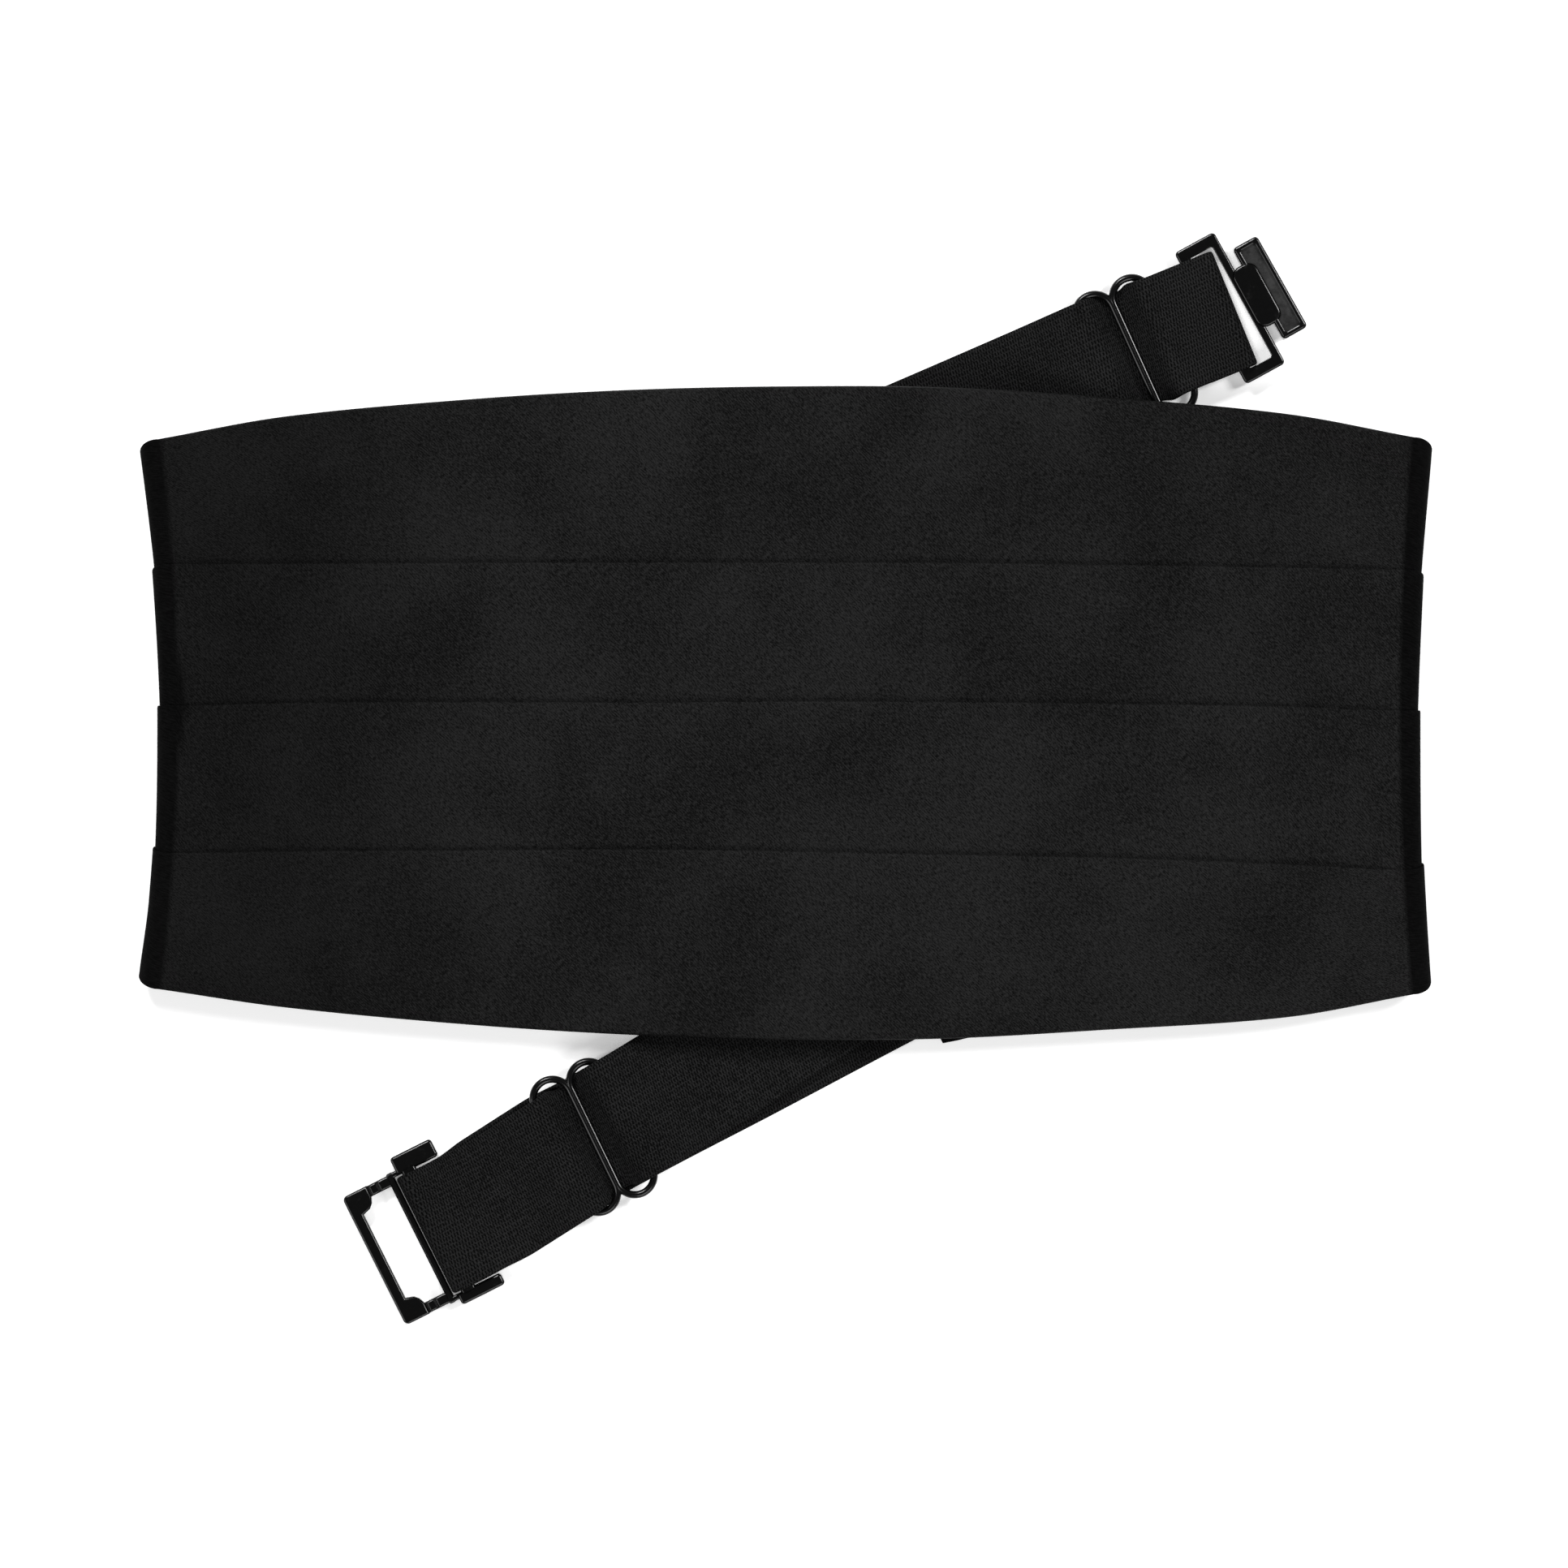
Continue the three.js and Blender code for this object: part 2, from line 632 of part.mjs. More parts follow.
function roundedRect(x0, y0, x1, y1, radius, hole) {
  const path = hole ? new THREE.Path() : new THREE.Shape();
  path.moveTo(x0 + radius, y0);
  path.lineTo(x1 - radius, y0);
  path.absarc(x1 - radius, y0 + radius, radius, -Math.PI / 2, 0);
  path.lineTo(x1, y1 - radius);
  path.absarc(x1 - radius, y1 - radius, radius, 0, Math.PI / 2);
  path.lineTo(x0 + radius, y1);
  path.absarc(x0 + radius, y1 - radius, radius, Math.PI / 2, Math.PI);
  path.lineTo(x0, y0 + radius);
  path.absarc(x0 + radius, y0 + radius, radius, Math.PI, 1.5 * Math.PI);
  return path;
}

function plate(shape, low, high, round = edgeRound) {
  const geometry = new THREE.ExtrudeGeometry(shape, {
    depth: high - low - 2 * round,
    bevelThickness: round,
    bevelSize: round,
    bevelOffset: -round,
    bevelSegments: 1,
    curveSegments: 3,
  });
  return geometry.translate(0, 0, low + round);
}

// Bar with round long edges, lying across the clasp
function crossbar(front, back, width) {
  const radius = (crossbarHeight / 2) * crossbarRound;
  const section = roundedRect(-front, -crossbarHeight / 2, -back, crossbarHeight / 2, radius);
  const options = { depth: width, bevelEnabled: false, curveSegments: 4 };
  const geometry = new THREE.ExtrudeGeometry(section, options);
  geometry.translate(0, 0, -width / 2);
  geometry.rotateX(Math.PI / 2);
  return geometry.translate(0, 0, crossbarBottom + crossbarHeight / 2);
}

// Outline of the eye clasp's raised end: the outer bar with a rounded pad at each corner
function eyeEndOutline(holeTo, outer, half) {
  const from = outer - eyePadReach;
  const [padHalf, railHalf] = [half - eyePadWidth, half - eyeSideBar];
  const [reachX, reachY] = [holeTo - from, railHalf - padHalf];
  const shape = new THREE.Shape();
  shape.moveTo(from, -half);
  shape.lineTo(outer - eyeCorner, -half);
  shape.absarc(outer - eyeCorner, eyeCorner - half, eyeCorner, -Math.PI / 2, 0);
  shape.absarc(outer - eyeCorner, half - eyeCorner, eyeCorner, 0, Math.PI / 2);
  shape.lineTo(from, half);
  shape.lineTo(from, railHalf);
  const bendX = from + (1 - eyePadRound) * reachX;
  const bendY = railHalf - eyePadRound * reachY;
  shape.quadraticCurveTo(bendX, bendY, holeTo, padHalf);
  shape.lineTo(holeTo, -padHalf);
  shape.quadraticCurveTo(bendX, -bendY, from, -railHalf);
  return shape;
}

// Both clasps are drawn with +X pointing away from the band and 0 at the webbing's fold.
function eyeClasp(seat) {
  const inner = clearance;
  const holeFrom = inner + eyeInnerBar;
  const holeTo = holeFrom + eyeHole;
  const outer = holeTo + eyeOuterBar;
  const half = eyeWidth / 2;
  const innerFace = webWidth / 2 + clearance;
  const earTop = crossbarBottom + crossbarHeight;
  const barHalf = innerFace + eyeLink;
  const pieces = [
    plate(eyeEndOutline(holeTo, outer, half), 0, eyeHeight),
    plate(roundedRect(inner, -barHalf, holeFrom, barHalf, barCorner), 0, eyeBarHeight),
  ];
  for (const side of [-1, 1]) {
    const rail = [side * (half - eyeSideBar), side * (half - seamStep)].sort((a, b) => a - b);
    const railEnd = outer - eyePadReach + eyeCorner;
    const railShape = roundedRect(inner + seamStep, rail[0], railEnd, rail[1], barCorner);
    pieces.push(plate(railShape, seamStep, eyeSideHeight));
    const earWidth = side < 0 ? eyeUpperEar : eyeLowerEar;
    const ear = [side * innerFace, side * (innerFace + earWidth)].sort((a, b) => a - b);
    const earShape = roundedRect(-eyeEarLength, ear[0], -eyeEarStart, ear[1], earCorner);
    pieces.push(plate(earShape, 0, earTop));
    const link = [side * innerFace, side * (barHalf - seamStep)].sort((a, b) => a - b);
    const linkEnd = inner + eyeInnerBar / 2;
    const linkFrom = -eyeEarStart - 2 * eyeLink;
    const linkShape = roundedRect(linkFrom, link[0], linkEnd, link[1], barCorner);
    pieces.push(plate(linkShape, seamStep, eyeBarHeight - seamStep));
  }
  const back = clearance + webThick;
  pieces.push(crossbar(back + eyeCrossbar, back, 2 * barHalf));
  const piece = mesh("eye_clasp", join(pieces), materials.plastic);
  piece.position.set(seat.x, seat.y, 0);
  piece.rotation.z = eyeTurn;
  return piece;
}

function hookClasp(seat) {
  const half = hookWidth / 2;
  const outer = hookGap + hookOuterBar;
  const frameEnd = outer - hookDepth;
  const low = crossbarBottom;
  const high = low + hookFrameThick;
  const headFrom = outer + hookNotch;
  const headTo = headFrom + hookHeadDepth;
  const headHalf = hookHeadLength / 2;
  const armHalf = half - hookArm;
  const frame = roundedRect(frameEnd, -half, outer, half, frameCorner);
  const window = [frameEnd + hookCrossbar, -armHalf, hookGap, armHalf];
  frame.holes.push(roundedRect(...window, barCorner, true));
  const headShape = roundedRect(headFrom, -headHalf, headTo, headHalf, frameCorner);
  const head = plate(headShape, 0, hookHeadHeight);
  const sunk = [headFrom + hookRim, hookRim - headHalf, headTo - hookRim, headHalf - hookRim];
  const recess = plate(
    roundedRect(...sunk, barCorner),
    hookHeadHeight - hookRecess,
    hookHeadHeight + cutOver,
    recessRound,
  );
  const neckHalf = hookNeckWidth / 2;
  const neckTo = headFrom + hookHeadDepth * hookNeckReach;
  const neck = roundedRect(outer - hookOuterBar, -neckHalf, neckTo, neckHalf, neckCorner);
  const whole = join([
    cut(head, recess),
    plate(neck, low, hookHeadHeight),
    plate(frame, low, high),
  ]);
  const piece = mesh("hook_clasp", whole, materials.plastic);
  piece.position.set(seat.x, seat.y, 0);
  piece.rotation.z = hookTurn;
  return piece;
}

function tailEnd(place) {
  return new THREE.Vector3(place.along * rollAxisX, place.up * halfHeight, 0);
}

// The whole object, built round the middle of the front panel
function cummerbund() {
  const hookTail = tailEnd(tailEnds.left);
  const eyeTail = tailEnd(tailEnds.right);
  const hookPlan = strapPlan(
    hookTail,
    hookSliderRun,
    hookSliderHeading,
    hookFoldRun,
    hookFoldHeading,
    hookFoldHeading,
  );
  const eyePlan = strapPlan(
    eyeTail,
    eyeSliderRun,
    eyeSliderHeading,
    eyeFoldRun,
    eyeFoldHeading,
    eyeTurn,
  );
  const hook = hookStrap(hookPlan);
  const eye = eyeStrap(eyePlan);
  const whole = new THREE.Group();
  whole.add(
    pleatedBand(
      { point: hookTail, heading: hookPlan.tailHeading },
      { point: eyeTail, heading: eyePlan.tailHeading },
    ),
    eye.piece,
    hook.piece,
    slider("slider_eye_side", eyePlan.slider, eye.bar, eyeSliderTurn, 0),
    slider("slider_hook_side", hookPlan.slider, hook.bar, hookSliderTurn, hookSliderSlip),
    eyeClasp(eyePlan.fold),
    hookClasp(hookPlan.fold),
  );
  return whole;
}

const object = new THREE.Group();
const assembly = cummerbund();
object.add(assembly);

// The origin goes to the middle of the outline, on the surface.
assembly.updateMatrixWorld(true);
const outline = new THREE.Box3().setFromObject(assembly, true);
const middle = outline.getCenter(new THREE.Vector3());
assembly.position.set(-middle.x, -middle.y, -outline.min.z);

export default object;
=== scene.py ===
import json
import math

import bmesh
import bpy
from mathutils import Matrix, Vector, noise

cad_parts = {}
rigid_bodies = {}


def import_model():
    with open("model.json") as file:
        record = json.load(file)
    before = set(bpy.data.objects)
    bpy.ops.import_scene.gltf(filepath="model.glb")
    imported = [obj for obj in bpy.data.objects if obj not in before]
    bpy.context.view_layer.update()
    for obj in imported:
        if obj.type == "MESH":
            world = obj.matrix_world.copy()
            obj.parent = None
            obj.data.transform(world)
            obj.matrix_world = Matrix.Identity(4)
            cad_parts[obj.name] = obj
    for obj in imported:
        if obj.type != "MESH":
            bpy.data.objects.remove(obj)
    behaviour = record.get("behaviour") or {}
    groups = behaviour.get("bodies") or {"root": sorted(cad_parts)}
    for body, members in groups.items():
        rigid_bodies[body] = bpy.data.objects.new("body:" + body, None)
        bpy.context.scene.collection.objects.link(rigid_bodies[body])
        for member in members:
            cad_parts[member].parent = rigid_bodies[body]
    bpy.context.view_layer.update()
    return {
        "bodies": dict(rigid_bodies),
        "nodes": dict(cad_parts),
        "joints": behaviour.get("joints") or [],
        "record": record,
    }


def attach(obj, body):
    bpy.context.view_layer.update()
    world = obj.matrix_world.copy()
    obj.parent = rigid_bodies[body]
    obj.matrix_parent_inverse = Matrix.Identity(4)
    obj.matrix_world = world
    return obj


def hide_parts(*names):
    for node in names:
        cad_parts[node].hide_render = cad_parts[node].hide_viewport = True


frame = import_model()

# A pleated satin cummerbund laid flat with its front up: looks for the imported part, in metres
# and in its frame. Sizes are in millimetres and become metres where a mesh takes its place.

MM = 0.001
SHIFT = Vector((0.108, 13.155, 0.0))  # from the middle of the panel to the part's origin

# The band
ROLL_AXIS_X = 121.45
HALF_HEIGHT = 63.2
CLOTH_THICK = 2.5
FLAP_THICK = 1.0
POCKET_HEIGHT = 0.3
POCKET_DEPTH = 5.0
PLEAT_CLOTH = 6 * POCKET_DEPTH  # cloth laid back and forth under the three folded edges
HEM_THICK = 1.9
FOLD_ROUND = 0.6
ROLL_WAIST = {"left": 3.4, "right": 2.3}
ROLL_SPLAY = 0.45
SPLAY_FROM = 0.7
ROLL_PRESS = 0.35
PRESS_REACH = 7.0
WAIST_REACH = 45.0
RIPPLE_HEIGHT = 0.25
RIPPLE_TURNS = {"left": 42.0, "right": 38.0}
RIPPLE_FADES = {"left": (-0.9, -0.45), "right": (0.6, 0.9), "ends": (0.93, 1.0)}
RIPPLE_STRIP = (0.9, 2.0)
TAIL_END_WIDTH = 31.0
TAIL_END_THICK = 1.6
TAIL_SLACK = 0.1
TAIL_CURVE = 0.42
TAIL_THINNING = (0.98, 0.96)
GUIDE_STEPS = 400
ROLL_NARROWING = {"outermost": 0.962, "tail": 0.93}

# The webbing
WEB_WIDTH = 25.0
WEB_THICK = 1.2
WEB_PINCH = 1.9
WEB_SPACING = 0.8
LAP_LENGTH = 12.0
RAMP_LENGTH = 9.4
FOLD_HOLD = 5.4
CLEARANCE = 0.3
LIFT_START = 1.0
LIFT_LEAD = 1.6
LIFT_FADE = 13.0
HELD_MARGIN = 2.0
HELD_FADE = 1.2
HOOK_SLIDER_RUN = 70.4
HOOK_SLIDER_HEADING = math.radians(23.4)
HOOK_FOLD_RUN = 21.3
HOOK_FOLD_HEADING = math.radians(22.3)
HOOK_HEM = 9.6
HOOK_PINCH = 1.3
HOOK_SLIDER_SLIP = -0.9
EYE_SLIDER_RUN = 68.3
EYE_SLIDER_HEADING = math.radians(207.9)
EYE_FOLD_RUN = 38.0
EYE_FOLD_HEADING = math.radians(210.5)
EYE_DRIFT = 4.4
EYE_PLY_SLIP = 0.5
EYE_SLIP_FADE = 7.0
EYE_EAR_LENGTH = 9.4

# Sliders and clasps
WIRE_RADIUS = 0.72
LOOP_RADIUS = 3.74
LOOP_HALF = 10.2
LOOP_OFFSET = 3.93
LOOP_STEPS = 64
WIRE_SIDES = 20
EYE_SLIDER_TURN = math.radians(205.9)
HOOK_SLIDER_TURN = math.radians(24.4)
CROSSBAR_HEIGHT = 1.6
GLINT_WIDTH = 0.13
GLINT_RISE = 0.055
CORNER_STEPS = 6
ROD_SIDES = 16
CUTTER_SPARE = 1.0
SHARP_ANGLE = math.radians(20)
EYE_TURN = math.radians(206.6)
HOOK_TURN = math.radians(28.7)

# The eye clasp: its plan outwards from the webbing's fold, then the heights of its parts
EYE_HALF = 13.8
EYE_OUTER = 11.0
EYE_HOLE_TO = 8.7
EYE_PAD_LENGTH = 5.2
EYE_PAD_WIDTH = 4.8
EYE_PAD_CURVE = ((7.1, 0.5), (6.3, 1.3))
EYE_RAIL_WIDTH = 2.3
EYE_CORNER = 1.0
EYE_INNER_BAR = (0.12, -14.0, 1.5, 14.0)
EYE_CROSSBAR = (-4.5, -13.9, -1.5, 13.9)
EYE_RAIL_FROM = 0.4
EYE_RAIL_LAP = 1.0
EYE_RIDGES = (3.7, 5.55)
EYE_RIDGE_RADIUS = 0.5
EYE_RIDGE_LEVEL = 2.05
EYE_RIDGE_MARGIN = 0.05
EYE_EARS = ((-1, 3.7, EYE_EAR_LENGTH), (1, 2.4, 9.9))  # side, width and length
EYE_EAR_END = -0.6
EYE_LINK = (-3.0, 0.9)
EYE_LINK_WIDTH = 1.1
EYE_STEP = 0.1
EYE_TOPS = {"end": 3.0, "inner": 2.6, "rail": 2.3, "ear": 3.1, "link": 2.5}
EYE_BAR_DROP = 0.9
EYE_SLOPES = {"end": 0.2, "inner": 0.3, "rail": 0.2, "ear": 0.25, "link": 0.15, "bar": 0.3}
EYE_ROUNDS = {"inner": 0.4, "rail": 0.4, "ear": 0.7, "link": 0.4, "bar": 0.5}
EYE_INNER_GLINT = 0.03

# The hook clasp: boxes of its plan from the same fold, as x0, y0, x1, y1
HOOK_FRAME = (-5.3, -14.2, 3.4, 14.8)
HOOK_BAR_WIDTH = 2.1
HOOK_ARM_WIDTH = 2.4
HOOK_WINDOW_END = 1.75
HOOK_HEAD = (5.1, -10.1, 10.45, 10.1)
HOOK_TONGUE = (HOOK_FRAME[2] - 1.2, -6.4, 7.45, 6.5)
HOOK_RIM = 1.0
HOOK_SUNK = 0.5
HOOK_HEAD_TOP = 3.4
HOOK_TONGUE_RISE = 0.05
HOOK_HEAD_TILT = math.radians(0.7)
HOOK_HEAD_SLIP = -0.07
HOOK_SLOPES = {"frame": 0.2, "head": 0.25, "tongue": 0.25}
HOOK_ROUNDS = {"frame": 0.8, "window": 0.4, "head": 0.8, "sunk": 0.5, "tongue": 2.1}
FLOOR_TOLERANCE = 0.05
FACING_UP = 0.9

# Heights that follow from the cloth's layers and from the stack of tail, webbing and panel
POCKET_FLOOR = CLOTH_THICK - FLAP_THICK - POCKET_HEIGHT
POCKET_ROOF = POCKET_FLOOR + POCKET_HEIGHT
PLY_PITCH = WEB_THICK + CLEARANCE
PANEL_UNDERSIDE = TAIL_END_THICK + 2 * PLY_PITCH + CLEARANCE + TAIL_SLACK
ROLL_INNER = (PANEL_UNDERSIDE - CLOTH_THICK) / 2
ROLL_CENTRE_Z = CLOTH_THICK + ROLL_INNER
FLOOR_PLY = WEB_THICK / 2
TAIL_PLY = TAIL_END_THICK + CLEARANCE + FLOOR_PLY
CROSSBAR_BOTTOM = WEB_THICK + CLEARANCE
LOOP_PLY = CROSSBAR_BOTTOM + CROSSBAR_HEIGHT + CLEARANCE + FLOOR_PLY
TURN_RADIUS = (LOOP_PLY - FLOOR_PLY) / 2
TURN_REACH = TURN_RADIUS + FLOOR_PLY
SLIDER_REACH = LOOP_OFFSET + LOOP_RADIUS

# Levels of the panel's edges and of its three folded edges, as shares of the half height,
# at stations along the panel given as shares of the roll axis.
PANEL_ROWS = (
    {"at": -1.0, "top": 0.836, "first": 0.454, "second": 0.021, "third": -0.43, "bottom": -0.848},
    {"at": -0.8, "top": 0.905, "first": 0.457, "second": 0.03, "third": -0.424, "bottom": -0.904},
    {"at": -0.5, "top": 0.959, "first": 0.459, "second": 0.033, "third": -0.421, "bottom": -0.958},
    {"at": -0.25, "top": 0.987, "first": 0.46, "second": 0.031, "third": -0.418, "bottom": -0.988},
    {"at": 0.0, "top": 0.998, "first": 0.46, "second": 0.035, "third": -0.424, "bottom": -1.003},
    {"at": 0.25, "top": 0.995, "first": 0.459, "second": 0.033, "third": -0.434, "bottom": -1.0},
    {"at": 0.5, "top": 0.966, "first": 0.453, "second": 0.028, "third": -0.443, "bottom": -0.974},
    {"at": 0.8, "top": 0.913, "first": 0.445, "second": 0.019, "third": -0.464, "bottom": -0.934},
    {"at": 1.0, "top": 0.842, "first": 0.437, "second": 0.006, "third": -0.483, "bottom": -0.864},
)
LEVELS = ("bottom", "third", "second", "first", "top")
TAIL_ENDS = {"left": (0.022, 0.672), "right": (0.19, -0.796)}

# Soft hollows and swells of the panel: middle, reach along and across, and rise
SWELLS = (
    {"x": -116.0, "y": 4.5, "along": 5.0, "across": 7.0, "rise": -0.45},
    {"x": 111.5, "y": 4.0, "along": 8.0, "across": 6.0, "rise": -0.35},
    {"x": -112.5, "y": -24.5, "along": 7.0, "across": 5.0, "rise": -0.35},
    {"x": 6.0, "y": 50.0, "along": 26.0, "across": 10.0, "rise": 0.3},
    {"x": 45.0, "y": 37.0, "along": 24.0, "across": 9.0, "rise": 0.3},
    {"x": -17.0, "y": -58.0, "along": 24.0, "across": 8.0, "rise": 0.3},
    {"x": 58.0, "y": -55.0, "along": 26.0, "across": 8.0, "rise": 0.3},
)

SWELLS_END = 0.96

# Random waves of the panel: length along and across, slice of the noise, and rise
WAVES = (
    {"along": 34.0, "across": 15.0, "slice": 0.3, "rise": 0.22},
    {"along": 11.0, "across": 7.0, "slice": 4.1, "rise": 0.07},
)

# Painted shade: the panel's colour dims towards its left, and both its ends are painted dark over a
# short width
PAINTED_LEFT_SHADE = 0.5
PAINTED_LEFT_SHADE_SPAN = (40.0, 110.0)
PAINTED_DARK_FADE = (-1.2, 0.7)

# Where the painted shade of the panel's dark ends begins, from its upper edge to its lower edge
PAINTED_DARK_ENDS = {
    -1: (
        {"y": 60.0, "x": 121.8},
        {"y": 40.0, "x": 121.0},
        {"y": 28.0, "x": 120.0},
        {"y": 15.0, "x": 118.3},
        {"y": 6.0, "x": 116.5},
        {"y": 1.0, "x": 115.9},
        {"y": -8.0, "x": 117.2},
        {"y": -20.0, "x": 118.6},
        {"y": -32.0, "x": 119.9},
        {"y": -45.0, "x": 120.9},
        {"y": -60.0, "x": 121.6},
    ),
    1: (
        {"y": 60.0, "x": 121.2},
        {"y": 40.0, "x": 120.4},
        {"y": 20.0, "x": 120.0},
        {"y": 0.0, "x": 119.9},
        {"y": -25.0, "x": 120.4},
        {"y": -60.0, "x": 121.8},
    ),
}


def lerp(a, b, share):
    return a + (b - a) * share


def smoothstep(value, low, high):
    share = min(max((value - low) / (high - low), 0.0), 1.0)
    return share * share * (3 - 2 * share)


def heading(angle):
    return Vector((math.cos(angle), math.sin(angle), 0.0))


def read_rows(column, at):
    """Value of one column of the panel's table, on a smooth curve through its rows."""
    last = len(PANEL_ROWS) - 2
    i = next((k for k in range(last + 1) if at <= PANEL_ROWS[k + 1]["at"]), last)
    before, a, b, after = (PANEL_ROWS[min(max(k, 0), last + 1)] for k in range(i - 1, i + 3))
    span = b["at"] - a["at"]
    t = (at - a["at"]) / span
    slope_a = (b[column] - before[column]) / (b["at"] - before["at"]) * span
    slope_b = (after[column] - a[column]) / (after["at"] - a["at"]) * span
    return (
        (2 * t**3 - 3 * t**2 + 1) * a[column]
        + (t**3 - 2 * t**2 + t) * slope_a
        + (3 * t**2 - 2 * t**3) * b[column]
        + (t**3 - t**2) * slope_b
    )


# Mesh helpers


def finished(name, mesh, material):
    """The bmesh as a smooth shaded object that rides on the root body."""
    data = bpy.data.meshes.new(name)
    mesh.to_mesh(data)
    mesh.free()
    data.shade_smooth()
    data.materials.append(material)
    piece = bpy.data.objects.new(name, data)
    bpy.context.scene.collection.objects.link(piece)
    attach(piece, "root")
    return piece


def swept(name, section, stations, place, material, shade=None):
    """A closed section carried from station to station, with its ends filled.

    The UV map holds the length along the sweep and round the section, in metres. A float
    attribute holds painted shade, where shade gives it: how far the colour is painted darker."""
    around, along = len(section), len(stations) - 1
    mesh = bmesh.new()
    uv = mesh.loops.layers.uv.new("cloth")
    # A layer of painted shade: how far the colour is painted darker
    painted_shade = mesh.verts.layers.float.new("painted_shade")
    closed = (*section, section[0])
    half = Vector((around / 2, along / 2, 0.0))
    steps = {"x_segments": around, "y_segments": along, "size": 1.0}
    bmesh.ops.create_grid(mesh, matrix=Matrix.Diagonal((*half[:2], 1.0, 1.0)), **steps)
    rows = [[place(point, station) for point in closed] for station in stations]
    run = [0.0]
    for before, after in zip(stations, stations[1:]):
        run.append(run[-1] + (after["centre"] - before["centre"]).length * MM)
    middle = rows[len(rows) // 2]
    girth = [0.0]
    for before, after in zip(middle, middle[1:]):
        girth.append(girth[-1] + (after - before).length * MM)
    index = {}
    for vert in mesh.verts:
        i, j = round(vert.co.x + half.x), round(vert.co.y + half.y)
        index[vert] = (i, j)
        vert.co = (rows[j][i] + SHIFT) * MM
        if shade:
            vert[painted_shade] = shade(closed[i], stations[j])
    for face in mesh.faces:
        for loop in face.loops:
            i, j = index[loop.vert]
            loop[uv].uv = (run[j], girth[i])
    bmesh.ops.remove_doubles(mesh, verts=mesh.verts, dist=1e-7)
    bmesh.ops.holes_fill(mesh, edges=[e for e in mesh.edges if e.is_boundary], sides=0)
    bmesh.ops.recalc_face_normals(mesh, faces=mesh.faces)
    return finished(name, mesh, material)


# Shader helpers


class Level:
    """A number that changes over a surface. Arithmetic on it adds Math nodes."""

    def __init__(self, finish, socket):
        self.finish = finish
        self.socket = socket

    def maths(self, operation, *values):
        sockets = dict(enumerate(values))
        return self.finish.node("ShaderNodeMath", {"operation": operation}, sockets)

    def __add__(self, other):
        return self.maths("ADD", self, other)

    def __mul__(self, other):
        return self.maths("MULTIPLY", self, other)

    def __sub__(self, other):
        return self.maths("SUBTRACT", self, other)

    def __rsub__(self, other):
        return self.maths("SUBTRACT", other, self)

    def __truediv__(self, other):
        return self.maths("DIVIDE", self, other)

    def __pow__(self, other):
        return self.maths("POWER", self, other)

    __radd__ = __add__
    __rmul__ = __mul__

    def sine(self):
        return self.maths("SINE", self)

    def whole(self):
        return self.maths("FLOOR", self)

    def size(self):
        return self.maths("ABSOLUTE", self)

    def modulo(self, other):
        return self.maths("FLOORED_MODULO", self, other)

    def between(self, low, high):
        settings = {"interpolation_type": "SMOOTHSTEP"}
        sockets = {"Value": self, "From Min": low, "From Max": high}
        return self.finish.node("ShaderNodeMapRange", settings, sockets)


class Finish:
    """One material's nodes."""

    def __init__(self, name):
        self.material = bpy.data.materials.new(name)
        self.material.use_nodes = True
        self.tree = self.material.node_tree
        self.shader = self.tree.nodes["Principled BSDF"]

    def node(self, kind, settings=(), sockets=(), output=0):
        made = self.tree.nodes.new(kind)
        for key, value in dict(settings).items():
            setattr(made, key, value)
        for key, value in dict(sockets).items():
            self.feed(made.inputs[key], value)
        return Level(self, made.outputs[output])

    def feed(self, target, value):
        source = getattr(value, "socket", value)
        if isinstance(source, bpy.types.NodeSocket):
            self.tree.links.new(source, target)
        else:
            target.default_value = source

    def surface(self, **values):
        for key, value in values.items():
            self.feed(self.shader.inputs[key.replace("_", " ")], value)

    def cloth_map(self):
        """Length along the cloth and across it, in metres."""
        mapped = self.node("ShaderNodeUVMap", {"uv_map": "cloth"})
        along = self.node("ShaderNodeSeparateXYZ", (), {"Vector": mapped})
        return along, Level(self, along.socket.node.outputs["Y"])

    def mark(self, name):
        return self.node("ShaderNodeAttribute", {"attribute_name": name}, (), "Fac")

    def speckle(self, scale, detail, roughness, vector=None):
        if vector is None:
            vector = self.node("ShaderNodeTexCoord", (), (), "Object")
        sockets = {"Vector": vector, "Scale": scale, "Detail": detail, "Roughness": roughness}
        return self.node("ShaderNodeTexNoise", (), sockets)

    def streaks(self, along, across, lengthwise, crosswise):
        """Noise drawn out along the satin's slant, with features per metre each way."""
        slanted = {
            "X": (along + across) * (lengthwise / 2**0.5),
            "Y": (along - across) * (crosswise / 2**0.5),
        }
        place = self.node("ShaderNodeCombineXYZ", (), slanted)
        return self.speckle(1.0, 2.0, 0.6, place).between(0.3, 0.7)

    def mixed(self, share, first, second):
        """A colour between two, each a colour or a mixed one."""
        pair = [(*c, 1.0) if isinstance(c, tuple) else c for c in (first, second)]
        sockets = {0: share, 6: pair[0], 7: pair[1]}
        return self.node("ShaderNodeMix", {"data_type": "RGBA"}, sockets, 2)

    def bump(self, height, distance, strength):
        sockets = {"Height": height, "Distance": distance, "Strength": strength}
        self.surface(Normal=self.node("ShaderNodeBump", (), sockets))


